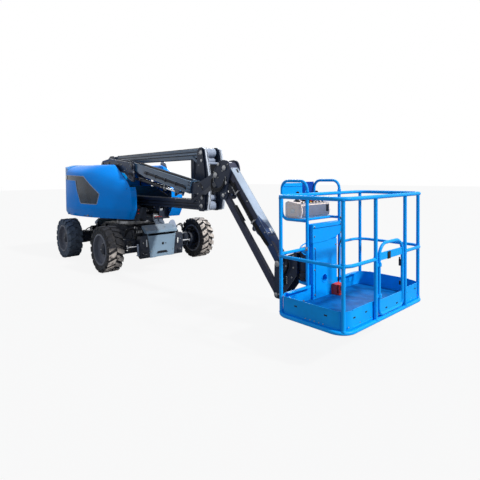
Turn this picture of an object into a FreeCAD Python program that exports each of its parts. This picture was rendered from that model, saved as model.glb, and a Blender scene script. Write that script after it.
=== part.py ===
import FreeCAD, Part
import math
import os

# Articulating boom lift, stowed, parked on its four wheels.
# Millimetres and degrees. +X points to the platform, +Y to the machine's left, +Z up.
# Places are measured from the slewing axis on the ground; the export moves the
# finished machine so that its origin is the middle of its footprint.

V = FreeCAD.Vector

# Running fits and clearances
PIN_FIT = 0.3            # radial clearance of a pin or rod in its bore
FACE_FIT = 0.5           # between faces that turn on each other
SEAT = 0.3               # between parts that sit against each other

# Wheels and tyres
TYRE_D = 840.0
TYRE_W = 305.0
LUG_H = 27.0
LUG_COUNT = 18           # lugs in each of the two rows
LUG_W = 86.0             # along the circumference
SIDEWALL = 158.0
RIM_R = TYRE_D / 2 - SIDEWALL            # tyre seat
RIM_FLANGE_R = RIM_R + 22
RIM_HALF_W = 132.0
DISC_OFFSET = 26.0       # wheel disc, outboard of the wheel's middle plane
DISC_T = 14.0
HUB_R = 108.0
AXLE_X = 958.0           # front and rear axle, from the slewing axis
WHEEL_Y = 1005.0
AXLE_Z = TYRE_D / 2

# Axles and steering
KING_Y = 690.0
KING_R = 28.0
KNUCKLE_R = 60.0
BEAM_HALF_X = 90.0
BEAM_END_Y = 560.0
BEAM_Z = (AXLE_Z - 100, AXLE_Z + 100)
YOKE_T = 30.0
STEER_ARM = 160.0
STEER_ROD_R = 16.0
STEER_BARREL_R = 36.0

# Chassis
FRAME_HALF_Y = 290.0
FRAME_TOP_Z = 720.0
FRAME_LOW_Z = 300.0
FRAME_END_X = 1085.0
COVER_X = 1195.0         # face of the front and rear grey covers
COVER_T = 8.0
COVER_TOP_Y = 322.0
COVER_LOW_Y = 262.0
LID_HALF_Y = 340.0
COLUMN_OUT_Y = 474.0
EYE_X = 1232.0           # tie-down eyes on the corner columns
EYE_Y = 380.0
EYE_Z = 262.0
EYE_R = 18.0
EYE_T = 20.0
SLEW_R = 330.0
SLEW_H = 62.0

# Turntable
DECK_Z = 870.0
DECK_T = 30.0
DECK_HALF_Y = 375.0
DECK_FRONT_X = 880.0
TRAY_Z = 935.0           # trays under the hoods
TAIL_X = -1300.0
TAIL_FRONT_X = -965.0
DECK_REAR_X = TAIL_FRONT_X + SEAT
TAIL_HALF_Y = 1010.0
TAIL_REAR_Y = 965.0
TAIL_LOW_Z = 925.0
TAIL_TOP_Z = 1980.0

# Hoods
HOOD_T = 18.0
HOOD_LOW_Z = 920.0
HOOD_CREASE_Z = 1100.0
HOOD_TOP_Z = 1985.0
HOOD_INNER_Y = 562.0
HOOD_LIP_Y = 450.0       # where the front wall ends
HOOD_LIP_TOP_Z = 1530.0
HOOD_HINGE_Y = 580.0
HOOD_HINGE_Z = 1938.0
HOOD_HINGE_R = 12.0
HOOD_PIN_R = 8.0
HOOD_POSTS = (-720.0, 330.0)     # x of the hinge posts
POST_HALF = 20.0
PANE_T = 5.0

# Riser: two parallelogram arms and the front knuckle
RISER_REAR_X = -650.0
RISER_FRONT_X = 2700.0
LOWER_Z = 1235.0
UPPER_Z = 2105.0
LINK_DZ = 130.0          # link pivots, from the arm pivots
ARM_HALF_Y = 100.0
ARM_H = 150.0
ARM_BOSS_R = 73.0
ARM_PIN_R = 30.0
LINK_Y = (108.0, 124.0)
LINK_H = 50.0
LINK_PIN_R = 18.0
LINK_BOW = 62.0          # the link's long middle sits beside the arm
PLATE_Y = (130.0, 150.0)
POST_X = 2290.0

# Upright and primary boom, set to the right of the riser
BOOM_Y = -390.0
BOOM_X = 1000.0
BOOM_Z = 1925.0
BOOM_DOWN = 10.7         # degrees below level when stowed
BOOM_DROP = 30.0         # boom's middle line below its pivot
BOOM_HALF_Y = 85.0
BOOM_H = 190.0
BOOM_WALL = 8.0
BOOM_MOUTH = 1885.0
BOOM_PIN_R = 36.0
UPRIGHT_GAP = 105.0      # half the space between the upright's boom plates
UPRIGHT_T = 15.0
INNER_HALF_Y = 66.0
INNER_H = 150.0
INNER_REAR = 420.0
NOSE_X = 3480.0          # level knuckle's pivot on the boom nose
NOSE_Z = 1735.0
NOSE_PIN_R = 30.0

# Jib
JIB_X = 3672.0
JIB_Z = 1832.0
JIB_DOWN = 50.3
JIB_LEN = 1540.0
JIB_HALF_Y = 70.0
JIB_H = 150.0
JIB_BOSS_R = 82.0
JIB_PIN_R = 28.0
JIB_LINK_X = 3650.0
JIB_LINK_Z = 1450.0
JIB_LINK_H = 90.0
JIB_LINK_Y = (-70.0, -20.0)
JIB_LINK_PIN_R = 20.0
HEAD_PLATE = (78.0, 92.0)

# Cylinders: barrel pin and rod eye, stowed
RISER_CYL = ((-300.0, 1010.0), (1150.0, 1095.0))
BOOM_CYL = ((1050.0, 1680.0), (2417.0, 1454.0))
JIB_CYL_PIN = (3705.0, 1625.0)
JIB_CYL_EYE = (950.0, -115.0)     # along and across the jib, from its pivot
JIB_CYL_Y = 22.0

# Platform
TURN_X = 5010.0          # platform's turning axis
PLAT_Y = -405.0
PLAT_REAR_X = 5250.0     # rail centres
PLAT_FRONT_X = 6040.0
PLAT_HALF_Y = 765.0
CORNER_R = 140.0
PLAT_LOW_Z = 340.0
FLOOR_Z = 385.0
FLOOR_T = 6.0
TOE_Z = 540.0
TOE_T = 4.0
FLOOR_BEARERS = (5440.0, 5645.0, 5850.0)
MID_Z = 934.0
TOP_Z = 1510.0
TUBE_R = 19.0
POST_R = 18.0
MID_R = 16.5
GATE_Y = (-600.0, -138.0)
GATE_Z = (402.0, 1070.0)
GATE_R = 15.0
GATE_RING_R = 24.0
GATE_RING_Z = (570.0, 860.0)
GATE_POST = 62.0         # post centres outside the gate's tubes
GUARD_Y = (-662.0, -64.0)
GUARD_X = 4892.0
GUARD_Z = 1655.0
GUARD_LOW_Z = 1225.0
CHANNEL_X = 5300.0       # face of the mount channel inside the platform
CHANNEL_Y = (-628.0, -187.0)
PANEL_BOX_X = 5305.0
PANEL_TOP_Z = 1188.0
HOLE = (-428.0, 585.0)   # round hole in the channel: y, z
HOLE_R = 42.0
SWITCH_Y = (-304.0, -190.0)
GUARD_R = 16.0
GUARD_CROSS_R = 15.0

X_MID = (PLAT_FRONT_X + GATE_RING_R - AXLE_X - TYRE_D / 2) / 2

NODES = {}


def keep(name, shape):
    """Store a node under its name."""
    NODES[name] = shape


def fuse(*shapes):
    """Join shapes that meet into one."""
    if len(shapes) == 1:
        return shapes[0]
    return shapes[0].multiFuse(list(shapes[1:])).removeSplitter()


def box(x, y, z):
    """Block from its three (low, high) pairs."""
    return Part.makeBox(x[1] - x[0], y[1] - y[0], z[1] - z[0], V(x[0], y[0], z[0]))


def rod(start, end, radius):
    """Round bar between two points."""
    along = V(*end) - V(*start)
    return Part.makeCylinder(radius, along.Length, V(*start), along)


def disc(centre, radius, y):
    """Round bar across the machine; centre is (x, z), y is (low, high)."""
    return Part.makeCylinder(radius, y[1] - y[0], V(centre[0], y[0], centre[1]), V(0, 1, 0))


def side(y, sign):
    """Mirror a (low, high) pair to the right side where sign is -1."""
    return y if sign > 0 else (-y[1], -y[0])


def outline(points, lift):
    """Closed wire; a point's third value rounds its corner. lift maps (a, b) to space."""
    count = len(points)
    ends = []
    for i, point in enumerate(points):
        here = V(point[0], point[1], 0)
        radius = point[2] if len(point) > 2 else 0
        if not radius:
            ends.append((here, None, here))
            continue
        before = V(*points[i - 1][:2], 0) - here
        after = V(*points[(i + 1) % count][:2], 0) - here
        half = before.getAngle(after) / 2
        before.normalize()
        after.normalize()
        reach = radius / math.tan(half)
        inward = before + after
        inward.normalize()
        middle = here + inward * (radius / math.sin(half) - radius)
        ends.append((here + before * reach, middle, here + after * reach))
    edges = []
    for i, (start, middle, end) in enumerate(ends):
        if middle is not None:
            edges.append(Part.Arc(lift(start), lift(middle), lift(end)).toShape())
        goal = ends[(i + 1) % count][0]
        if (goal - end).Length > 1e-6:
            edges.append(Part.LineSegment(lift(end), lift(goal)).toShape())
    return Part.Wire(edges)


def slab(axis, points, low, high):
    """Outline extruded along an axis: points are (y, z), (x, z) or (x, y)."""
    lifts = {"X": lambda p: V(low, p.x, p.y), "Y": lambda p: V(p.x, low, p.y), "Z": lambda p: V(p.x, p.y, low)}
    way = {"X": V(1, 0, 0), "Y": V(0, 1, 0), "Z": V(0, 0, 1)}[axis]
    return Part.Face(outline(points, lifts[axis])).extrude(way * (high - low))


def pipe(points, radius, bend, closed=False):
    """Round tube along straight runs joined by round elbows."""
    knots = [V(*p) for p in points]
    count = len(knots)
    tips = [(knot, knot) for knot in knots]
    pieces = []
    for i in range(count) if closed else range(1, count - 1):
        before = (knots[i - 1] - knots[i]).normalize()
        after = (knots[(i + 1) % count] - knots[i]).normalize()
        half = before.getAngle(after) / 2
        reach = bend / math.tan(half)
        tips[i] = (knots[i] + before * reach, knots[i] + after * reach)
        centre = knots[i] + (before + after).normalize() * (bend / math.sin(half))
        ring = Part.Face(Part.Wire(Part.makeCircle(radius, tips[i][0], before)))
        pieces.append(ring.revolve(centre, after.cross(before), 180 - math.degrees(2 * half)))
    for i in range(count if closed else count - 1):
        pieces.append(rod(tips[i][1], tips[(i + 1) % count][0], radius))
    return pieces[0].multiFuse(pieces[1:])


def place(shape, down, x, z, y=0):
    """Turn a part drawn along +X nose down by an angle, then move it to its pivot."""
    shape = shape.copy()
    shape.rotate(V(0, 0, 0), V(0, 1, 0), down)
    shape.translate(V(x, y, z))
    return shape


def turned(along, up, down, x, z):
    """(x, z) of a point given along and across a part that is turned nose down."""
    a = math.radians(down)
    return (x + along * math.cos(a) + up * math.sin(a), z - along * math.sin(a) + up * math.cos(a))


def mirrored(shape):
    """The same shape on the other side of the machine's middle plane."""
    return shape.mirror(V(0, 0, 0), V(0, 1, 0))


def ears(centre, radius, gap, thick, y_mid, root):
    """Pair of ears round a pin place; root is the (x, z) outline that joins the parent."""
    pieces = []
    for y in ((y_mid - gap - thick, y_mid - gap), (y_mid + gap, y_mid + gap + thick)):
        ear = fuse(slab("Y", root, *y), disc(centre, radius, y))
        pieces.append(ear)
    return pieces


def cylinder_pair(name, pin, eye, y, barrel_r, rod_r, eye_half, barrel_len, rod_start):
    """Hydraulic cylinder: a barrel with its pin eye and a rod with its open-ended eye."""
    length = math.hypot(eye[0] - pin[0], eye[1] - pin[1])
    down = -math.degrees(math.atan2(eye[1] - pin[1], eye[0] - pin[0]))
    eye_r = barrel_r * 0.8
    barrel = fuse(
        rod((eye_r * 0.5, 0, 0), (barrel_len, 0, 0), barrel_r),
        rod((barrel_len - 40, 0, 0), (barrel_len, 0, 0), barrel_r + 5),
        disc((0, 0), eye_r, (-eye_half, eye_half)),
    )
    barrel = barrel.cut(rod((barrel_r + 25, 0, 0), (barrel_len + 1, 0, 0), rod_r + PIN_FIT))
    barrel = barrel.cut(disc((0, 0), PINS[name] + PIN_FIT, (-barrel_r - 1, barrel_r + 1)))
    shaft = fuse(
        rod((rod_start, 0, 0), (length - eye_r * 0.75, 0, 0), rod_r),
        disc((length, 0), eye_r, (-eye_half, eye_half)),
    )
    shaft = shaft.cut(disc((length, 0), eye_r * 0.5, (-eye_half - 1, eye_half + 1)))
    keep(name + "_barrel", place(barrel, down, pin[0], pin[1], y))
    keep(name + "_rod", place(shaft, down, pin[0], pin[1], y))


PINS = {"riser_cylinder": 22.0, "boom_cylinder": 22.0, "jib_cylinder": 16.0}


# Wheels: carcass, lugs and rim, drawn round the Y axis, outboard side towards +Y

def revolve(points):
    """Ring from (y, radius) points, turned round the Y axis."""
    wire = outline(points, lambda p: V(p.y, p.x, 0))
    return Part.Face(wire).revolve(V(0, 0, 0), V(0, 1, 0), 360)


def make_tyre():
    half = TYRE_W / 2
    tread = TYRE_D / 2 - LUG_H
    carcass = revolve([
        (-RIM_HALF_W + 14, RIM_R + PIN_FIT), (-half + 14, RIM_FLANGE_R + 14), (-half + 8, tread - 40),
        (-half + 40, tread), (half - 40, tread), (half - 8, tread - 40),
        (half - 14, RIM_FLANGE_R + 14), (RIM_HALF_W - 14, RIM_R + PIN_FIT)])
    sweep = 74.0
    top = math.sqrt((TYRE_D / 2) ** 2 - ((sweep + LUG_W) / 2) ** 2)
    shoulder = slab("X", [
        (-half + 12, tread - 62), (-half, tread - 40), (-half + 14, top), (half - 14, top),
        (half, tread - 40), (half - 12, tread - 62)], -200, 200)
    lugs = []
    pitch = 360.0 / LUG_COUNT
    for row, sign in ((0, 1), (1, -1)):
        plan = [(-LUG_W / 2 - sweep / 2, 6 * sign), (LUG_W / 2 - sweep / 2, 6 * sign),
                (LUG_W / 2 + sweep / 2, (half + 8) * sign), (-LUG_W / 2 + sweep / 2, (half + 8) * sign)]
        block = slab("Z", plan, tread - 64, TYRE_D / 2 + 20).common(shoulder)
        for i in range(LUG_COUNT):
            lug = block.copy()
            lug.rotate(V(0, 0, 0), V(0, 1, 0), pitch * (i + 0.5 * row))
            lugs.append(lug)
    return carcass.multiFuse(lugs)


def make_rim():
    wall = 9.0
    dish = DISC_OFFSET + DISC_T
    return fuse(
        revolve([
            (-RIM_HALF_W - 8, RIM_FLANGE_R), (-RIM_HALF_W, RIM_FLANGE_R), (-RIM_HALF_W + 8, RIM_R),
            (RIM_HALF_W - 8, RIM_R), (RIM_HALF_W, RIM_FLANGE_R), (RIM_HALF_W + 8, RIM_FLANGE_R),
            (RIM_HALF_W + 8, RIM_R - wall), (-RIM_HALF_W - 8, RIM_R - wall)]),
        revolve([
            (DISC_OFFSET, 0), (dish + 22, 0), (dish + 22, 62), (dish + 8, 74), (dish, 150),
            (dish + 30, RIM_R - wall + 1), (dish + 16, RIM_R - wall + 1), (DISC_OFFSET, 150)]),
    )


def wheel_at(shape, x, sign):
    wheel = shape.copy() if sign > 0 else mirrored(shape)
    wheel.translate(V(x, sign * WHEEL_Y, AXLE_Z))
    return wheel


TYRE = make_tyre()
RIM = make_rim()
CORNERS = (("front_left", 1, 1), ("front_right", 1, -1), ("rear_left", -1, 1), ("rear_right", -1, -1))
for corner, end, sign in CORNERS:
    keep("tyre_" + corner, wheel_at(TYRE, end * AXLE_X, sign))
    keep("rim_" + corner, wheel_at(RIM, end * AXLE_X, sign))

HUB_END = WHEEL_Y + DISC_OFFSET - FACE_FIT


# Chassis: box frame, grey end covers, dark corner columns

def make_frame():
    body = slab("Y", [
        (-FRAME_END_X, 420, 40), (-FRAME_END_X, 590, 30), (-760, FRAME_TOP_Z, 60), (760, FRAME_TOP_Z, 60),
        (FRAME_END_X, 640, 30), (FRAME_END_X, BEAM_Z[1] + SEAT), (870, BEAM_Z[1] + SEAT), (700, FRAME_LOW_Z, 60),
        (-700, FRAME_LOW_Z, 60), (-868, 400)], -FRAME_HALF_Y, FRAME_HALF_Y)
    for end in (-1, 1):
        x = sorted((end * (AXLE_X - BEAM_HALF_X - SEAT), end * (AXLE_X + BEAM_HALF_X + SEAT)))
        body = body.cut(box(x, (-400, 400), (BEAM_Z[0] - 60, BEAM_Z[1] + SEAT)))
    turret = slab("Z", [(-420, -340, 80), (420, -340, 80), (420, 340, 80), (-420, 340, 80)],
                  FRAME_TOP_Z - 60, FRAME_TOP_Z + 20)
    return fuse(body, turret)


def make_end_cover(end):
    """Grey panel, narrower at its foot, with a lid over it and a recess below."""
    face = COVER_X
    shell = slab("Y", [
        (1080, 700), (face - 60, 660), (face, 625, 25), (face, 180), (face - COVER_T, 180),
        (face - COVER_T, 610, 18), (face - 64, 648), (1080, 690)], -COVER_TOP_Y, COVER_TOP_Y)
    front = slab("X", [
        (-COVER_TOP_Y, 720), (COVER_TOP_Y, 720), (COVER_LOW_Y, 180), (-COVER_LOW_Y, 180)], 1000, face + 20)
    shell = shell.common(front)
    shell = shell.cut(slab("X", [(-150, 170), (150, 170), (95, 245), (-95, 245)], face - 30, face + 10))
    lip = slab("Y", [
        (1020, 785), (face + 10, 695, 12), (face + 16, 645), (face - COVER_T, 645), (face - COVER_T, 640),
        (face - 60, 650), (1080, 695), (1020, 738)], -LID_HALF_Y, LID_HALF_Y)
    brackets = [box((FRAME_END_X + SEAT, face - 1), y, (530, 560)) for y in ((-240, -200), (200, 240))]
    cover = fuse(shell, lip, *brackets)
    if end < 0:
        cover.rotate(V(0, 0, 0), V(0, 0, 1), 180)
    return cover


def make_columns(end):
    """Dark curved columns beside a grey cover."""
    pieces = []
    steer_x = AXLE_X + STEER_ARM
    for sign in (-1, 1):
        y = sorted((sign * COVER_LOW_Y, sign * COLUMN_OUT_Y))
        column = slab("Y", [
            (1060, 250), (1150, 185, 20), (1200, 185, 20), (1214, 420), (1190, 600, 60), (1110, 690, 40),
            (1060, 690)], *y)
        face = slab("X", [
            (sign * (COVER_LOW_Y + SEAT), 180), (sign * (COVER_TOP_Y + SEAT), 720), (sign * (COLUMN_OUT_Y - 90), 720),
            (sign * COLUMN_OUT_Y, 560, 200), (sign * (COLUMN_OUT_Y - 12), 180)], 1040, 1240)
        hollow = sorted((sign * (COVER_TOP_Y + 14), sign * (COLUMN_OUT_Y - 24)))
        column = column.common(face).cut(box((1040, 1180), hollow, (150, 720)))
        column = column.cut(box((1000, FRAME_END_X + SEAT), (-FRAME_HALF_Y - SEAT, FRAME_HALF_Y + SEAT), (150, 720)))
        column = column.cut(slab("Y", [
            (1010, 800), (1225, 800), (1225, 640), (1183, 632), (1130, 644), (1076, 690), (1010, 730)],
            -LID_HALF_Y - 2, LID_HALF_Y + 2))
        column = column.cut(box((steer_x - 36, steer_x + 36), (y[0] - 1, y[1] + 1), (AXLE_Z - 36, AXLE_Z + 36)))
        eye_y = sign * EYE_Y
        lug = slab("Z", [(1185, eye_y - 62), (EYE_X, eye_y - 40, 20), (EYE_X + 40, eye_y, 38), (EYE_X, eye_y + 40, 20),
                         (1185, eye_y + 62)], EYE_Z - EYE_T / 2, EYE_Z + EYE_T / 2)
        bore = rod((EYE_X, eye_y, EYE_Z - EYE_T), (EYE_X, eye_y, EYE_Z + EYE_T), EYE_R)
        pieces.append(fuse(column, lug).cut(bore))
    for piece in pieces:
        if end < 0:
            piece.rotate(V(0, 0, 0), V(0, 0, 1), 180)
    return pieces


keep("chassis_frame", make_frame())
keep("chassis_covers", Part.makeCompound([make_end_cover(1), make_end_cover(-1)]))
keep("chassis_columns", Part.makeCompound(make_columns(1) + make_columns(-1)))


def make_front_axle():
    x = (AXLE_X - BEAM_HALF_X, AXLE_X + BEAM_HALF_X)
    parts = [box(x, (-BEAM_END_Y, BEAM_END_Y), BEAM_Z)]
    for sign in (-1, 1):
        for z in ((BEAM_Z[1], BEAM_Z[1] + YOKE_T), (BEAM_Z[0] - YOKE_T, BEAM_Z[0])):
            y = sorted((sign * (BEAM_END_Y - 120), sign * KING_Y))
            parts.append(box((AXLE_X - KNUCKLE_R, AXLE_X + KNUCKLE_R), y, z))
            parts.append(rod((AXLE_X, sign * KING_Y, z[0]), (AXLE_X, sign * KING_Y, z[1]), KNUCKLE_R))
        parts.append(rod((AXLE_X, sign * KING_Y, BEAM_Z[0] - YOKE_T),
                         (AXLE_X, sign * KING_Y, BEAM_Z[1] + YOKE_T), KING_R))
    steer_x = AXLE_X + STEER_ARM
    barrel = rod((steer_x, -190, AXLE_Z), (steer_x, 190, AXLE_Z), STEER_BARREL_R)
    for sign in (-1, 1):
        y = sorted((sign * 150, sign * 185))
        parts.append(box((x[1] - 5, steer_x), y, (AXLE_Z - 28, AXLE_Z + 28)))
    bore = rod((steer_x, -200, AXLE_Z), (steer_x, 200, AXLE_Z), STEER_ROD_R + PIN_FIT)
    return fuse(barrel, *parts).cut(bore)


def make_rear_axle():
    x = (-AXLE_X - BEAM_HALF_X, -AXLE_X + BEAM_HALF_X)
    parts = [slab("X", [
        (-700, 300), (700, 300), (700, 540), (520, 540), (430, BEAM_Z[1]), (-430, BEAM_Z[1]), (-520, 540),
        (-700, 540)], x[0], x[1])]
    for sign in (-1, 1):
        parts.append(rod((-AXLE_X, sign * 640, AXLE_Z), (-AXLE_X, sign * 760, AXLE_Z), HUB_R + 30))
        parts.append(rod((-AXLE_X, sign * 750, AXLE_Z), (-AXLE_X, sign * HUB_END, AXLE_Z), HUB_R))
    return fuse(*parts)


def make_knuckle(sign):
    king = (AXLE_X, sign * KING_Y)
    low = BEAM_Z[0] + FACE_FIT
    high = BEAM_Z[1] - FACE_FIT
    inner = KING_Y + KNUCKLE_R + 9
    web_y = sorted((sign * KING_Y, sign * (inner + 5)))
    tip = AXLE_X + STEER_ARM
    arm_z = (AXLE_Z - STEER_ROD_R - 26, AXLE_Z - STEER_ROD_R - 8)
    parts = [
        rod((*king, low), (*king, high), KNUCKLE_R),
        box((AXLE_X - 50, AXLE_X + 50), web_y, (345, 495)),
        rod((AXLE_X, sign * inner, AXLE_Z), (AXLE_X, sign * (inner + 60), AXLE_Z), HUB_R + 22),
        rod((AXLE_X, sign * inner, AXLE_Z), (AXLE_X, sign * HUB_END, AXLE_Z), HUB_R),
        slab("Z", [(AXLE_X, king[1] - 34), (tip, king[1] - 26, 12), (tip + 26, king[1]), (tip, king[1] + 26, 12),
                   (AXLE_X, king[1] + 34)], *arm_z),
    ]
    bore = rod((*king, low - 1), (*king, high + 1), KING_R + PIN_FIT)
    return fuse(*parts).cut(bore)


keep("front_axle", make_front_axle())
keep("rear_axle", make_rear_axle())
keep("steer_knuckle_left", make_knuckle(1))
keep("steer_knuckle_right", make_knuckle(-1))


def make_steer_rod():
    x = AXLE_X + STEER_ARM
    parts = [rod((x, -KING_Y, AXLE_Z), (x, KING_Y, AXLE_Z), STEER_ROD_R)]
    for sign in (-1, 1):
        low = AXLE_Z - STEER_ROD_R - 8 + FACE_FIT
        parts.append(rod((x, sign * KING_Y, low), (x, sign * KING_Y, AXLE_Z + STEER_ROD_R + 2), 26))
    return fuse(*parts)


keep("steer_rod", make_steer_rod())

SLEW_LOW = FRAME_TOP_Z + 20
keep("slew_ring", rod((0, 0, SLEW_LOW), (0, 0, SLEW_LOW + SLEW_H), SLEW_R).cut(
    rod((0, 0, SLEW_LOW - 1), (0, 0, SLEW_LOW + SLEW_H + 1), SLEW_R - 90)))


# Turntable: deck, trays, riser stand, tail weight, engine block

# Roof's half section from its middle out, at the rear and the front: (y, z)
ROOF_HALF_Y = 1250.0
ROOF_STEPS = 4
ROOF = (
    (-1320.0, ((300.0, 1996.0), (880.0, 1988.0), (1040.0, 1925.0), (ROOF_HALF_Y, 1830.0))),
    (1320.0, ((300.0, 1988.0), (600.0, 1975.0), (1040.0, 1640.0), (ROOF_HALF_Y, 1540.0))),
)

def make_turntable():
    low = SLEW_LOW + SLEW_H + FACE_FIT
    parts = [
        rod((0, 0, low), (0, 0, DECK_Z), SLEW_R - 12),
        box((DECK_REAR_X, DECK_FRONT_X), (-DECK_HALF_Y, DECK_HALF_Y), (DECK_Z, DECK_Z + DECK_T)),
        box((-120, 120), (-70, 70), (DECK_Z, DECK_Z + 60)),
    ]
    for sign in (-1, 1):
        wall = sorted((sign * DECK_HALF_Y, sign * (DECK_HALF_Y - 10)))
        parts.append(slab("Y", [
            (DECK_REAR_X, DECK_Z), (DECK_REAR_X, 1520, 40), (300, 1520, 60), (DECK_FRONT_X - 20, 1330, 60),
            (DECK_FRONT_X - 20, DECK_Z)], *wall))
        tray = [(-860, sign * (DECK_HALF_Y - 5)), (560, sign * (DECK_HALF_Y - 5)), (560, sign * 690.0),
                (200, sign * 800.0), (-820, sign * 930.0)]
        parts.append(slab("Z", tray, TRAY_Z, TRAY_Z + 12))
        for x in HOOD_POSTS:
            y = sorted((sign * (HOOD_HINGE_Y - HOOD_HINGE_R), sign * (HOOD_HINGE_Y + HOOD_HINGE_R)))
            hinge = (sign * HOOD_HINGE_Y, HOOD_HINGE_Z)
            parts.append(box((x - POST_HALF, x + POST_HALF), y, (TRAY_Z + 6, HOOD_HINGE_Z)))
            parts.append(rod((x - POST_HALF, *hinge), (x + POST_HALF, *hinge), HOOD_HINGE_R))
            parts.append(rod((x - POST_HALF - 12, *hinge), (x + POST_HALF + 12, *hinge), HOOD_PIN_R))
        plate = side(PLATE_Y, sign)
        stand = slab("Y", [
            (-900, DECK_Z + 10), (-800, 1330, 60), (-690, 1430, 50), (-600, 1430, 50), (-560, 1290, 50), (-380, 1085, 60),
            (-200, 1075, 40), (-120, DECK_Z + 10)], *plate)
        parts.append(stand)
        parts.append(disc((RISER_REAR_X, LOWER_Z + LINK_DZ), LINK_PIN_R, side((LINK_Y[0] - 2, PLATE_Y[0] + 5), sign)))
        brace = sorted((sign * (PLATE_Y[1] - 5), sign * (DECK_HALF_Y - 5)))
        parts.append(box((-870, -850), brace, (DECK_Z + 10, 1120)))
        parts.append(box((DECK_FRONT_X - 40, DECK_FRONT_X - 20), brace, (DECK_Z + 10, 1120)))
    parts.append(disc((RISER_REAR_X, LOWER_Z), ARM_PIN_R, (-PLATE_Y[1] - 12, PLATE_Y[1] + 12)))
    parts.append(disc(RISER_CYL[0], PINS["riser_cylinder"], (-PLATE_Y[1], PLATE_Y[1])))
    return fuse(*parts)


keep("turntable_frame", make_turntable())


def facet(points):
    return Part.Face(Part.makePolygon(points + points[:1]))


def roof_section(share, drop):
    """Roof's whole outline at a share of the way from its rear section to its front one."""
    (x0, rear), (x1, front) = ROOF
    half = [(a[0] + (b[0] - a[0]) * share, a[1] + (b[1] - a[1]) * share - drop) for a, b in zip(rear, front)]
    half.append((ROOF_HALF_Y, HOOD_LOW_Z - 40))
    return [V(x0 + (x1 - x0) * share, y, z) for y, z in [(-y, z) for y, z in reversed(half)] + half]


def roof_solid(drop):
    """Everything under the hoods' roof, whose side edge comes down towards the front."""
    sections = [roof_section(i / ROOF_STEPS, drop) for i in range(ROOF_STEPS + 1)]
    count = len(sections[0])
    faces = [facet(sections[0]), facet(sections[-1])]
    for rear, front in zip(sections, sections[1:]):
        for i in range(count):
            quad = [rear[i - 1], rear[i], front[i], front[i - 1]]
            if i > count / 2:
                quad = quad[1:] + quad[:1]
            faces += [facet([quad[0], quad[1], quad[2]]), facet([quad[0], quad[2], quad[3]])]
    return Part.Solid(Part.makeShell(faces)).removeSplitter()


def make_tail():
    """Tail casting behind the hoods, rounded at its rear corners, foot and top."""
    plan = slab("Z", [
        (TAIL_X, -TAIL_REAR_Y, 110), (TAIL_X, TAIL_REAR_Y, 110), (TAIL_FRONT_X, TAIL_HALF_Y),
        (TAIL_FRONT_X, -TAIL_HALF_Y)], TAIL_LOW_Z, TAIL_TOP_Z + 100)
    profile = slab("Y", [
        (TAIL_FRONT_X + 10, TAIL_LOW_Z - 10), (TAIL_FRONT_X + 10, TAIL_TOP_Z + 120), (TAIL_X + 190, TAIL_TOP_Z + 120),
        (TAIL_X + 150, TAIL_TOP_Z), (TAIL_X + 75, TAIL_TOP_Z - 22), (TAIL_X + 22, TAIL_TOP_Z - 62),
        (TAIL_X, TAIL_TOP_Z - 120), (TAIL_X, 1100), (TAIL_X + 105, 985),
        (TAIL_X + 290, TAIL_LOW_Z), (TAIL_X + 310, TAIL_LOW_Z - 10)], -TAIL_HALF_Y - 50, TAIL_HALF_Y + 50)
    return plan.common(profile).common(roof_solid(0))


keep("counterweight", make_tail())
keep("engine_block", box((-470, 200), (-780, -DECK_HALF_Y - 25), (TRAY_Z + 12 + SEAT, 1480)))

# Hood outline in plan at each height: rear x, rear y, arc middle, arc end, front corner, lip
# Columns: z, (rear x, rear y), (arc mid x, y), (arc end x, y), (front corner x, y), front lip x
HOOD_LEVELS = (
    (HOOD_LOW_Z, (-870.0, 985.0), (-300.0, 950.0), (290.0, 812.0), (985.0, 548.0), 985.0),
    (HOOD_CREASE_Z, (-935.0, 1060.0), (-300.0, 1018.0), (313.0, 851.0), (1080.0, 563.0), 1050.0),
    (HOOD_TOP_Z + 60, (-935.0, 1045.0), (-300.0, 1000.0), (313.0, 835.0), (1070.0, 555.0), 1045.0),
)


def hood_wire(level, inset):
    """Plan outline of the right hood at one height, drawn with y positive outboard."""
    z, rear, middle, end, corner, lip_x = level
    points = [V(rear[0] + inset, HOOD_LIP_Y, z), V(rear[0] + inset, rear[1] - inset, z),
              V(middle[0], middle[1] - inset, z), V(end[0], end[1] - inset, z),
              V(corner[0] - inset, corner[1] - inset, z), V(lip_x - inset, HOOD_LIP_Y, z)]
    return Part.Wire([
        Part.LineSegment(points[0], points[1]).toShape(),
        Part.Arc(points[1], points[2], points[3]).toShape(),
        Part.LineSegment(points[3], points[4]).toShape(),
        Part.LineSegment(points[4], points[5]).toShape(),
        Part.LineSegment(points[5], points[0]).toShape(),
    ])


def hood_solid(inset):
    """Closed form of the hood, drawn in by an inset."""
    lower = Part.makeLoft([hood_wire(HOOD_LEVELS[0], inset), hood_wire(HOOD_LEVELS[1], inset)], True, True)
    upper = Part.makeLoft([hood_wire(HOOD_LEVELS[1], inset), hood_wire(HOOD_LEVELS[2], inset)], True, True)
    body = lower.fuse(upper)
    t = inset
    profile = slab("Y", [
        (-1300, HOOD_LOW_Z - 10), (-1300, HOOD_TOP_Z - t), (380, HOOD_TOP_Z - t, 160), (800 - t, 1712 - t, 200),
        (1100, 1590 - t, 60), (1300, 1540 - t), (1300, HOOD_LOW_Z - 10)], 300, 1300)
    return body.common(roof_solid(t)).common(profile)


WINDOW = [(-458, 1660, 20), (-395, 1462, 60), (-251, 1197, 25), (233, 1190, 25), (297, 1392, 25), (164, 1491, 60),
          (-174, 1740, 30), (-900, 1770, 12), (-900, 1685, 12)]


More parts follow.
